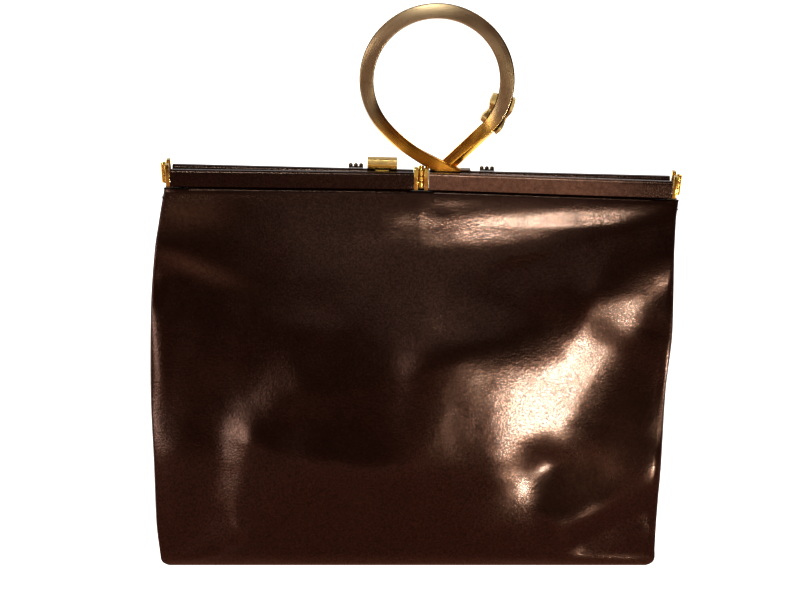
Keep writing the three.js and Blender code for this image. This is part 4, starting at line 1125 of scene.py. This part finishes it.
def knuckle_mesh(plate_at, tall):
    """One knuckle with the strap that ties it to its plate, standing on the ground plane."""
    shape = bmesh.new()
    edge = KNUCKLE_EDGE
    profile = [(HINGE_BORE, 0), (HINGE_RADIUS - edge, 0), (HINGE_RADIUS, edge), (HINGE_RADIUS, tall - edge),
               (HINGE_RADIUS - edge, tall), (HINGE_BORE, tall)]
    add_lathe(shape, profile, closed=True)
    since = len(shape.verts)
    reach = math.hypot(*plate_at)
    add_box(shape, (HINGE_BORE + STRAP_FROM_BORE, -STRAP_THICK / 2, STRAP_INSET),
            (reach, STRAP_THICK / 2, tall - STRAP_INSET), STRAP_EDGE)
    moved(shape, Matrix.Rotation(math.atan2(plate_at[1], plate_at[0]), 4, "Z"), since)
    bmesh.ops.recalc_face_normals(shape, faces=shape.faces[:])
    mesh = bpy.data.meshes.new("knuckle")
    shape.to_mesh(mesh)
    shape.free()
    mesh.shade_smooth()
    return mesh


def end_hinge_place(side):
    """The end hinges lean outwards at their tops."""
    middle = Matrix.Translation((0, 0, (HINGE_TOP + HINGE_FOOT) / 2))
    lean = middle @ Matrix.Rotation(side * END_LEAN, 4, "Y") @ middle.inverted()
    return FRAME_PLACE @ Matrix.Translation((side * FRAME_SPAN / 2, 0, 0)) @ lean


def hinge_leaf(name, tree, plate, plate_at, plate_turn, first, place):
    """A leaf: a plate on its bar's end and every other knuckle, about the hinge's upright axis."""
    low, tall = knuckle_spans()
    step = tall + GAP
    knuckles = run_tree(tree, knuckle_mesh(plate_at, tall), {
        "Count": (KNUCKLES + 1 - first) // 2, "Start": (0, 0, low + first * step),
        "Offset": (0, 0, 2 * step), "Material": gilt()})
    shape = bmesh.new()
    add_box(shape, plate[0], plate[1], PLATE_EDGE)
    moved(shape, plate_turn)
    shape.from_mesh(knuckles)
    moved(shape, place)
    make_piece(name, shape, gilt(), "bag", (name,))


def plate_box(near, side, top=HINGE_TOP):
    half = BAR_DEPTH / 2 + PLATE_OVER_BAR
    ends = sorted((side * near, side * (near + PLATE_THICK)))
    return (ends[0], -half, -BAR_HEIGHT - PLATE_OVER_BAR), (ends[1], half, top)


def hinge_pin(name, place):
    shape = bmesh.new()
    turns = np.radians(np.linspace(0, 90, PIN_DOME_STEPS))
    dome = [(HINGE_RADIUS * math.sin(turn), 1 - math.cos(turn)) for turn in turns]
    foot = [(r, HINGE_FOOT + HINGE_HEAD * PIN_DOME * h) for r, h in dome]
    top = [(r, HINGE_TOP - HINGE_HEAD * PIN_DOME * h) for r, h in dome[::-1]]
    low = HINGE_FOOT + HINGE_HEAD
    high = HINGE_TOP - HINGE_HEAD
    shaft = [(HINGE_RADIUS, low), (HINGE_PIN, low), (HINGE_PIN, high), (HINGE_RADIUS, high)]
    add_lathe(shape, foot + shaft + top)
    moved(shape, place)
    make_piece(name, shape, gilt(), "bag", (name,))


class HANDBAG_OT_hinges(bpy.types.Operator):
    """Build the barrel hinges at the middle of each face and at both ends"""

    bl_idname = "handbag.hinges"
    bl_label = "Hinges"

    def execute(self, context):
        tree = repeat_tree()
        for face in ("front", "back"):
            start, end, turn = bar_ends(face)
            middle = Matrix.Translation((0, BAR_MIDDLE_LINE[face], 0))
            for name, side in (("left", -1), ("right", 1)):
                bar_turn = Matrix.Rotation(side * turn, 4, "Z")
                near = start - GAP - PLATE_THICK
                plate_at = bar_turn @ Vector((side * (near + PLATE_THICK / 2), 0, 0))
                first = 0 if (side < 0) == (face == "front") else 1
                plate = plate_box(near, side, HINGE_TOP if face == "front" else UNDER_HANDLE_TOP)
                hinge_leaf(f"hinge_{face}_leaf_{name}", tree, plate, plate_at[:2], bar_turn, first,
                           FRAME_PLACE @ middle)
                to_end = Matrix.Translation((-side * FRAME_SPAN / 2, 0, 0)) @ middle @ bar_turn
                near = end + END_PLATE_GAP
                plate_at = to_end @ Vector((side * (near + PLATE_THICK / 2), 0, 0))
                hinge_leaf(f"hinge_{name}_leaf_{face}", tree, plate_box(near, side), plate_at[:2], to_end,
                           0 if face == "front" else 1, end_hinge_place(side))
            hinge_pin(f"hinge_{face}_pin", FRAME_PLACE @ middle)
        for name, side in (("left", -1), ("right", 1)):
            hinge_pin(f"hinge_{name}_pin", end_hinge_place(side))
        return {"FINISHED"}


# The ring handle

RING_PLACE = FRAME_PLACE @ Matrix.Translation((RING_X, RING_Y, RING_HEIGHT))
RING_ARM_STEPS = 32
RING_TURN_STEPS = 180
RING_EDGE = 0.8
RING_SMOOTH = math.radians(28)
FOOT_EDGE = 0.25
TIP_LENGTH = 16.0

# Where the brass changes: a painted highlight above the ring's middle and gilding below it, in its radii, and
# painted shade along the left arm, as a share
SHEEN_ABOVE = (0.2, 1.0)
GILDED_BELOW = (0.4, 0.95)
ARM_SHADE_FROM = (0.2, 0.38)
ARM_SHADE_TO = (0.62, 0.8)


def ring_line():
    """The ring's centre line in its own plane: up the right arm, round the ring, down the left arm."""
    def on_ring(angle):
        return RING_RADIUS * np.array([math.cos(angle), math.sin(angle)])

    right = on_ring(RING_LEAVES_RIGHT)
    left = on_ring(RING_LEAVES_LEFT)
    right_end = right + RIGHT_ARM * np.array([right[1], -right[0]]) / RING_RADIUS
    left_way = np.array([-left[1], left[0]]) / RING_RADIUS
    left_end = np.array(LEFT_END)
    end_way = np.array([math.cos(LEFT_END_WAY), math.sin(LEFT_END_WAY)])
    arm = np.linspace(0, 1, RING_ARM_STEPS, endpoint=False)[:, None]
    bend = 1 - arm[::-1]
    round_it = np.linspace(RING_LEAVES_RIGHT, RING_LEAVES_LEFT, RING_TURN_STEPS)
    turn = RING_RADIUS * np.column_stack([np.cos(round_it), np.sin(round_it)])
    left_arm = ((1 - bend) ** 3 * left + 3 * bend * (1 - bend) ** 2 * (left + LEFT_ARM_BEND * left_way)
                + 3 * bend ** 2 * (1 - bend) * (left_end - LEFT_ARM_BEND * end_way) + bend ** 3 * left_end)
    return np.concatenate([right_end + arm * (right - right_end), turn, left_arm])


def ring_path_mesh():
    """The centre line as edges that know which ways the bar's width and depth lie and how its brass looks."""
    line = ring_line()
    gone = np.concatenate([[0], np.cumsum(np.linalg.norm(np.diff(line, axis=0), axis=1))])
    share = gone / gone[-1]
    way = np.gradient(line, axis=0)
    way /= np.linalg.norm(way, axis=1, keepdims=True)
    twist = np.radians(read_column(RING_BAR, "twist", share))[:, None]
    outward = np.column_stack([way[:, 1], np.zeros(len(line)), -way[:, 0]])
    through = np.array([[0.0, 1.0, 0.0]])
    wide = read_column(RING_BAR, "width", share)[:, None] / RING_WIDTH
    deep = read_column(RING_BAR, "depth", share)[:, None] / RING_DEPTH
    centre = np.column_stack([line[:, 0], read_column(RING_BAR, "shift", share), line[:, 1]])
    mesh = bpy.data.meshes.new("ring path")
    mesh.from_pydata(centre.tolist(), [(i, i + 1) for i in range(len(line) - 1)], [])
    for name, values in (("centre", centre),
                         ("width_way", wide * (outward * np.cos(twist) + through * np.sin(twist))),
                         ("depth_way", deep * (through * np.cos(twist) - outward * np.sin(twist)))):
        mesh.attributes.new(name, "FLOAT_VECTOR", "POINT").data.foreach_set(
            "vector", values.astype(np.float32).ravel())
    height = line[:, 1] / RING_RADIUS
    arm = np.clip((np.arange(len(line)) - RING_ARM_STEPS - RING_TURN_STEPS) / RING_ARM_STEPS, 0, 1)
    # Painted shade along part of the left arm
    dull = smoothstep(arm, *ARM_SHADE_FROM) * (1 - smoothstep(arm, *ARM_SHADE_TO))
    # Painted highlight over the ring's top
    held = smoothstep(height, *SHEEN_ABOVE)
    gilded = smoothstep(-height, *GILDED_BELOW)
    for name, values in (("held", held), ("gilded", gilded), ("dull", dull)):
        mesh.attributes.new(name, "FLOAT", "POINT").data.foreach_set("value", values.astype(np.float32))
    return mesh


def cut_flat(shape, point, normal, verts):
    """Cuts away those points' part that lies beyond a plane, and closes the cut."""
    among = set(verts)
    edges = [edge for edge in shape.edges if among.issuperset(edge.verts)]
    geometry = verts + edges + [face for face in shape.faces if among.issuperset(face.verts)]
    cut = bmesh.ops.bisect_plane(shape, geom=geometry, plane_co=point, plane_no=normal, clear_outer=True)
    edges = [item for item in cut["geom_cut"] if isinstance(item, bmesh.types.BMEdge)]
    bmesh.ops.contextual_create(shape, geom=edges)


class HANDBAG_OT_ring_handle(bpy.types.Operator):
    """Build the ring handle with its crossing arms and its foot plate"""

    bl_idname = "handbag.ring_handle"
    bl_label = "Ring handle"

    def execute(self, context):
        material = finish_named("Brushed brass", ring_finish, context.scene.handbag_metal)
        bar = run_tree(sweep_tree(), ring_path_mesh(), {
            "Width": RING_WIDTH, "Depth": RING_DEPTH, "Edge": RING_EDGE, "Material": material})
        shape = bmesh.new()
        shape.from_mesh(bar)
        floor = GAP - RING_HEIGHT
        run = shape.verts.layers.float["along"]
        tip = max(vert[run] for vert in shape.verts) - TIP_LENGTH
        cut_flat(shape, (LEFT_TIP, 0, 0), (1, 0, 0), [vert for vert in shape.verts if vert[run] > tip])
        front = RING_BAR[-1].shift - RING_BAR[-1].depth / 2
        cut_flat(shape, (TIP_FACET_FROM[0], front, TIP_FACET_FROM[1]), TIP_FACET_WAY,
                 [vert for vert in shape.verts if vert[run] > tip])
        cut_flat(shape, (0, 0, floor), (0, 0, -1), shape.verts[:])
        add_box(shape, (FOOT_LOW[0], FOOT_LOW[1] - RING_Y, floor),
                (FOOT_HIGH[0], FOOT_HIGH[1] - RING_Y, floor + FOOT_THICK), FOOT_EDGE)
        moved(shape, RING_PLACE)
        make_piece("handle_ring", shape, material, "bag", ("handle_ring",), RING_SMOOTH)
        return {"FINISHED"}


class HANDBAG_OT_ring_clip(bpy.types.Operator):
    """Build the waisted clip that wraps the ring's right arm from behind"""

    bl_idname = "handbag.ring_clip"
    bl_label = "Ring clip"

    def execute(self, context):
        half = RING_WIDTH / 2 + GAP
        shift = CLIP_ON_BAR.shift
        behind = shift + RING_DEPTH / 2 + CLIP_BEHIND
        rings = []
        for turn in np.linspace(CLIP[0].turn, CLIP[-1].turn, CLIP_STEPS):
            inner, outer, reach = (float(read_column(CLIP, c, turn)) for c in ("inner", "outer", "reach"))
            inside = RING_RADIUS - half
            outside = RING_RADIUS + half
            front = shift - reach
            outline = ((inside - inner, front), (inside, front), (inside, behind), (outside, behind),
                       (outside, front), (outside + outer, front), (outside + outer, behind + CLIP_BACK),
                       (inside - inner, behind + CLIP_BACK))
            angle = -math.radians(turn)
            rings.append([(r * math.cos(angle), y, r * math.sin(angle)) for r, y in outline])
        shape = bmesh.new()
        add_loft(shape, rings)
        sharp = [edge for edge in shape.edges if edge.calc_face_angle(0) > CLIP_SHARP]
        bmesh.ops.bevel(shape, geom=sharp, offset=CLIP_EDGE, segments=3, profile=0.5, affect="EDGES")
        moved(shape, RING_PLACE)
        make_piece("ring_clip", shape, satin_gilt(), "bag", ("ring_clip",))
        return {"FINISHED"}


# The clasp

CLASP_PLACE = FRAME_PLACE @ Matrix.Translation((CLASP_X, 0, 0))
PIN_TIP_RADIUS = 0.45
PIN_TIP_OUT = 0.1
PIN_TIP_ROUND = 0.2
PIN_STEPS = 24
PLINTH_EDGE = 0.25
CATCH_EDGE = 0.12


def add_run(shape, outline, start, end, rounding=0.0):
    """An outline drawn in depth and height, run along X."""
    since = len(shape.edges)
    add_loft(shape, [[(x, y, z) for y, z in outline] for x in (start, end)])
    shape.edges.ensure_lookup_table()
    if rounding:
        edges = shape.edges[since:]
        bmesh.ops.bevel(shape, geom=edges, offset=rounding, segments=2, profile=0.5, affect="EDGES")


def add_bored_plate(shape, start, end, low, high, centre, radius, steps=32):
    """A plate between two places along X, with a round hole."""
    rings = []
    for x, reach in ((start, 1), (end, 1), (end, 0), (start, 0)):
        ring = []
        for i in range(steps):
            angle = 2 * math.pi * i / steps
            way = Vector((math.cos(angle), math.sin(angle)))
            limits = [((high if way[k] > 0 else low)[k] - centre[k]) / way[k]
                      for k in (0, 1) if abs(way[k]) > 1e-6]
            far = min(limits) if reach else radius
            ring.append(shape.verts.new((x, centre[0] + far * way[0], centre[1] + far * way[1])))
        rings.append(ring)
    for here, beyond in zip(rings, rings[1:] + rings[:1]):
        for i in range(steps):
            k = (i + 1) % steps
            shape.faces.new((here[i], here[k], beyond[k], beyond[i]))


class HANDBAG_OT_clasp(bpy.types.Operator):
    """Build the clasp: plinth, lever, pin and catch"""

    bl_idname = "handbag.clasp"
    bl_label = "Clasp"

    def execute(self, context):
        half = CLASP_WIDE / 2
        self.build_plinth()
        self.build_lever(half)
        self.build_catch()
        shape = bmesh.new()
        rounded = [(0, -half - PIN_TIP_OUT), (PIN_TIP_RADIUS, -half),
                   (CLASP_PIN_RADIUS, PIN_TIP_ROUND - half), (CLASP_PIN_RADIUS, half - PIN_TIP_ROUND),
                   (PIN_TIP_RADIUS, half), (0, half + PIN_TIP_OUT)]
        add_lathe(shape, rounded, PIN_STEPS)
        moved(shape, CLASP_PLACE @ Matrix.Translation((0, CLASP_PIN_Y, CLASP_PIN_Z)) @ Matrix.Rotation(
            math.pi / 2, 4, "Y"))
        make_piece("clasp_pin", shape, gilt(), "bag", ("clasp_pin",))
        return {"FINISHED"}

    def build_plinth(self):
        shape = bmesh.new()
        half = PLINTH_WIDE / 2
        add_box(shape, (-half, PLINTH_FRONT, GAP), (half, CLASP_BACK, PLINTH_TOP), PLINTH_EDGE)
        outside = CLASP_WIDE / 2 - CLASP_WALL - GAP
        for side in (-1, 1):
            ends = sorted((side * outside, side * (outside - EAR_THICK)))
            add_bored_plate(shape, ends[0], ends[1], (CLASP_PIN_Y - EAR_RADIUS, PLINTH_TOP - GAP),
                            (CLASP_BACK, CLASP_PIN_Z + EAR_RADIUS), (CLASP_PIN_Y, CLASP_PIN_Z), CLASP_BORE)
        moved(shape, CLASP_PLACE)
        make_piece("clasp_base", shape, gilt(), "bag", ("clasp_base",))

    def build_lever(self, half):
        """A folded cover: a polished lower stripe, a groove, a brushed upper face and a rounded top."""
        front, wall, top = CLASP_FRONT, CLASP_WALL, CLASP_TOP
        outline = [(front + 0.3, CLASP_NOSE), (front, CLASP_NOSE + 0.5), (front, CLASP_STRIPE),
                   (front + 0.35, CLASP_STRIPE + 0.1), (front + 0.35, CLASP_STRIPE + 0.3),
                   (front + 0.05, CLASP_STRIPE + 1.1), (front + 0.05, top - 1.2), (front + 0.2, top - 0.6),
                   (front + 0.5, top - 0.2), (front + 1.0, top), (CLASP_BACK, top),
                   (CLASP_BACK, top - wall), (front + wall, top - wall), (front + wall, CLASP_NOSE)]
        shape = bmesh.new()
        add_run(shape, outline, -half, half)
        for side in (-1, 1):
            ends = sorted((side * half, side * (half - wall)))
            add_bored_plate(shape, ends[0], ends[1], (front + wall, CLASP_SKIRT), (CLASP_BACK, top - wall),
                            (CLASP_PIN_Y, CLASP_PIN_Z), CLASP_BORE)
        stripe = [float(vert.co.z < CLASP_STRIPE + 0.05) for vert in shape.verts]
        moved(shape, CLASP_PLACE)
        lever = make_piece("clasp_lever", shape, satin_gilt(), "lever", ("clasp_lever",))
        lever.data.attributes.new("gilded", "FLOAT", "POINT").data.foreach_set("value", stripe)

    def build_catch(self):
        """A leg down the front bar's inner side, a shelf and a lip behind the lever's nose."""
        low, high = (Vector(corner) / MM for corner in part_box("clasp_catch"))
        middle = CLASP_PLACE.inverted() @ ((low + high) / 2)
        leg_from = middle.y - (high.y - low.y) / 2
        leg_to = leg_from + CATCH_THICK
        foot = CATCH_SHELF - CATCH_DROP
        under = CATCH_SHELF - CATCH_THICK
        lip_from, lip_to = CATCH_LIP
        outline = [(leg_from, foot), (leg_to, foot), (leg_to, under), (lip_to, under),
                   (lip_to, CATCH_LIP_TOP), (lip_from, CATCH_LIP_TOP), (lip_from, CATCH_SHELF),
                   (leg_from, CATCH_SHELF)]
        shape = bmesh.new()
        add_run(shape, outline, -CATCH_WIDE / 2, CATCH_WIDE / 2, CATCH_EDGE)
        moved(shape, CLASP_PLACE)
        make_piece("clasp_catch", shape, gilt(), "bag", ("clasp_catch",))


# The rows of beads

BEAD_ROUND = 24
BEAD_RINGS = 14
BEAD_STRIP_EDGE = 0.2


class HANDBAG_OT_bead_rows(bpy.types.Operator):
    """Build the two rows of three dark beads on the back bars"""

    bl_idname = "handbag.bead_rows"
    bl_label = "Bead rows"

    def execute(self, context):
        material = finish_named("Dark bronze", bronze_finish, context.scene.handbag_metal)
        tree = repeat_tree()
        length = BEAD_PITCH * (BEADS - 1) + 2 * BEAD_RADIUS
        rise = GAP + BEAD_STRIP + BEAD_RADIUS - BEAD_SINK
        for name, side in (("left", -1), ("right", 1)):
            bead = bmesh.new()
            bmesh.ops.create_uvsphere(bead, u_segments=BEAD_ROUND, v_segments=BEAD_RINGS, radius=BEAD_RADIUS)
            unit_mesh = bpy.data.meshes.new("bead")
            bead.to_mesh(unit_mesh)
            bead.free()
            beads = run_tree(tree, unit_mesh, {
                "Count": BEADS, "Start": (-BEAD_PITCH * (BEADS - 1) / 2, 0, rise),
                "Offset": (BEAD_PITCH, 0, 0), "Material": material})
            shape = bmesh.new()
            add_box(shape, (-length / 2, -BEAD_RADIUS, GAP), (length / 2, BEAD_RADIUS, GAP + BEAD_STRIP),
                    BEAD_STRIP_EDGE)
            shape.from_mesh(beads)
            moved(shape, FRAME_PLACE @ Matrix.Translation((side * BEAD_FROM_MIDDLE, BEAD_Y, 0)))
            make_piece(f"rivet_row_{name}", shape, material, "bag", (f"rivet_row_{name}",))
        return {"FINISHED"}


# The stitching

HEM_DROP = 3.2
HEM_ENDS = 3
STITCH_LIFT = 0.1
STITCH_LENGTH = 2.3
STITCH_THICK = 0.75
STITCH_ASKEW = 0.12
STITCH_SEED = 5


class HANDBAG_OT_stitching(bpy.types.Operator):
    """Sew the hems at the tops of the folded sides"""

    bl_idname = "handbag.stitching"
    bl_label = "Stitching"

    def execute(self, context):
        settings = context.scene.handbag_leather
        material = finish_named("Waxed thread", thread_finish, settings.thread)
        tree = stitch_tree()
        for name, side in (("left", -1), ("right", 1)):
            points, normals = gusset_grid(side)
            row = int(np.argmin(np.abs(points[:, 0, 2] - (points[-1, 0, 2] - HEM_DROP))))
            line = (points[row] + STITCH_LIFT * normals[row])[HEM_ENDS:-HEM_ENDS]
            path = bpy.data.meshes.new("hem line")
            path.from_pydata(line.tolist(), [(i, i + 1) for i in range(len(line) - 1)], [])
            threads = run_tree(tree, path, {
                "Pitch": settings.stitch_pitch / MM, "Length": STITCH_LENGTH, "Thickness": STITCH_THICK,
                "Askew": STITCH_ASKEW, "Seed": STITCH_SEED + side, "Material": material})
            shape = bmesh.new()
            shape.from_mesh(threads)
            make_piece(f"hem_stitches_{name}", shape, material, "bag", ())
        return {"FINISHED"}


# The stage

FLOOR_RADIUS = 30
SENSOR_WIDTH = 36
WHITE = (1, 1, 1)
PALE = (0.92, 1.03, 1)

# Rectangular lights: the way to them (0 in front, 90 to the right), how far and high they stand, their size,
# the setting of their power, their colour and the height that they look at. Lengths here are metres.
Light = namedtuple("Light", "name azimuth away height wide tall power colour looks_at")
LIGHTS = (
    Light("key", 27.45, 0.7, 0.0204, 0.0636, 0.0197, "key_power", PALE, 0.0204),
    Light("band", -2.4, 1.055, 1.187, 0.0943, 0.1563, "band_power", PALE, 0.12),
    Light("fill", -62, 1.4, 0.58, 0.7, 0.9, "fill_power", WHITE, 0.12),
    Light("front fill", -32, 1.2, 0.27, 0.3, 0.5, "front_power", WHITE, 0.12),
    Light("ring fill", 5, 0.2, 0.255, 0.18, 0.11, "ring_power", WHITE, 0.273),
    Light("rim left", -140, 1.2, 1.1, 0.6, 0.6, "rim_power", WHITE, 0.12),
    Light("rim right", 140, 1.2, 1.1, 0.6, 0.6, "rim_power", WHITE, 0.12),
)


def add_light(light, power):
    turn = math.radians(light.azimuth)
    place = Vector((light.away * math.sin(turn), -light.away * math.cos(turn), light.height))
    data = bpy.data.lights.new(light.name, "AREA")
    data.shape = "RECTANGLE"
    data.size = light.wide
    data.size_y = light.tall
    data.energy = power
    data.color = light.colour
    lamp = bpy.data.objects.new(light.name, data)
    lamp.location = place
    lamp.rotation_euler = (Vector((0, 0, light.looks_at)) - place).to_track_quat("-Z", "Y").to_euler()
    lamp.visible_camera = False
    bpy.context.scene.collection.objects.link(lamp)


class HANDBAG_OT_stage(bpy.types.Operator):
    """Set the pale floor, the lights, the surroundings and the camera"""

    bl_idname = "handbag.stage"
    bl_label = "Stage"

    def execute(self, context):
        settings = context.scene.handbag_stage
        self.build_floor(settings)
        self.build_surroundings(context.scene, settings.bounce)
        for light in LIGHTS:
            add_light(light, getattr(settings, light.power))
        self.build_camera(settings)
        view = context.scene.view_settings
        view.view_transform = "Standard"
        view.exposure = settings.exposure
        view.gamma = settings.gamma
        return {"FINISHED"}

    def build_floor(self, settings):
        finish = Finish("Pale floor")
        depth = finish.node("ShaderNodeSeparateXYZ", {"Vector": finish.place}).outputs["Y"]
        behind = finish.spread(depth, -0.035, 0.012)
        cast = finish.sum(finish.spread(depth, -2.4, -0.25, 0.12, 0.28), finish.sum(behind, 0.78, "MULTIPLY"))
        seen = finish.node("ShaderNodeLightPath").outputs["Is Camera Ray"]
        glow = finish.node("ShaderNodeMix", {0: seen, 2: cast, 3: 1.1}, data_type="FLOAT").outputs[0]
        tone = finish.mixed(finish.sum(seen, behind, "MAXIMUM"), settings.bounce, WHITE)
        finish.set(Base_Color=(*settings.floor, 1), Roughness=0.8, Specular_IOR_Level=0.1,
                   Emission_Color=tone, Emission_Strength=glow)
        shape = bmesh.new()
        bmesh.ops.create_circle(shape, cap_ends=True, segments=96, radius=FLOOR_RADIUS)
        mesh = bpy.data.meshes.new("floor")
        shape.to_mesh(mesh)
        shape.free()
        mesh.materials.append(finish.material)
        floor = bpy.data.objects.new("floor", mesh)
        bpy.context.scene.collection.objects.link(floor)

    def build_surroundings(self, scene, warm):
        """White where the camera looks past the bag. What the bag mirrors is dark in front, pale behind."""
        world = bpy.data.worlds.new("Surroundings")
        world.use_nodes = True
        scene.world = world
        tree = world.node_tree
        way = add_node(tree, "ShaderNodeTexCoord").outputs["Generated"]
        depth = add_node(tree, "ShaderNodeSeparateXYZ", {"Vector": way}).outputs["Y"]
        pale = add_node(tree, "ShaderNodeMapRange", {
            "Value": depth, "From Min": 0.1, "From Max": 0.9, "To Min": 0.09, "To Max": 0.45}).outputs[0]
        seen = add_node(tree, "ShaderNodeLightPath").outputs["Is Camera Ray"]
        strength = add_node(tree, "ShaderNodeMix", {0: seen, 2: pale, 3: 1.0}, data_type="FLOAT").outputs[0]
        whole = add_node(tree, "ShaderNodeMath", {0: seen, 1: depth}, operation="MAXIMUM").outputs[0]
        tone = add_node(tree, "ShaderNodeMix", {
            0: whole, 6: (*warm, 1), 7: (*WHITE, 1)}, data_type="RGBA").outputs[2]
        sky = tree.nodes["Background"]
        tree.links.new(tone, sky.inputs["Color"])
        tree.links.new(strength, sky.inputs["Strength"])

    def build_camera(self, settings):
        data = bpy.data.cameras.new("camera")
        data.sensor_width = SENSOR_WIDTH
        data.lens = settings.camera_lens
        camera = bpy.data.objects.new("camera", data)
        camera.location = settings.camera_place
        camera.rotation_euler = (math.pi / 2 - settings.camera_pitch, 0, 0)
        bpy.context.scene.collection.objects.link(camera)
        bpy.context.scene.camera = camera


# The panel and registration

BUILDERS = (
    HANDBAG_OT_leather_body, HANDBAG_OT_frame_bars, HANDBAG_OT_hinges, HANDBAG_OT_ring_handle,
    HANDBAG_OT_ring_clip, HANDBAG_OT_clasp, HANDBAG_OT_bead_rows, HANDBAG_OT_stitching, HANDBAG_OT_stage,
)


class HANDBAG_PT_build(bpy.types.Panel):
    """The settings and the builders, in the order in which they run."""

    bl_idname = "HANDBAG_PT_build"
    bl_label = "Handbag"
    bl_space_type = "VIEW_3D"
    bl_region_type = "UI"
    bl_category = "Handbag"

    def draw(self, context):
        for name in SETTINGS:
            group = getattr(context.scene, name)
            for key in group.__annotations__:
                self.layout.prop(group, key)
        for builder in BUILDERS:
            self.layout.operator(builder.bl_idname)


SETTINGS = {
    "handbag_leather": LeatherSettings,
    "handbag_metal": MetalSettings,
    "handbag_stage": StageSettings,
}
CLASSES = (*SETTINGS.values(), *BUILDERS, HANDBAG_PT_build)


def register():
    for cls in CLASSES:
        bpy.utils.register_class(cls)
    for name, group in SETTINGS.items():
        setattr(bpy.types.Scene, name, bpy.props.PointerProperty(type=group))


def unregister():
    for name in SETTINGS:
        delattr(bpy.types.Scene, name)
    for cls in reversed(CLASSES):
        bpy.utils.unregister_class(cls)


def main():
    register()
    bpy.ops.handbag.leather_body()
    bpy.ops.handbag.frame_bars()
    bpy.ops.handbag.hinges()
    bpy.ops.handbag.ring_handle()
    bpy.ops.handbag.ring_clip()
    bpy.ops.handbag.clasp()
    bpy.ops.handbag.bead_rows()
    bpy.ops.handbag.stitching()
    bpy.ops.handbag.stage()


if __name__ == "__main__":
    main()
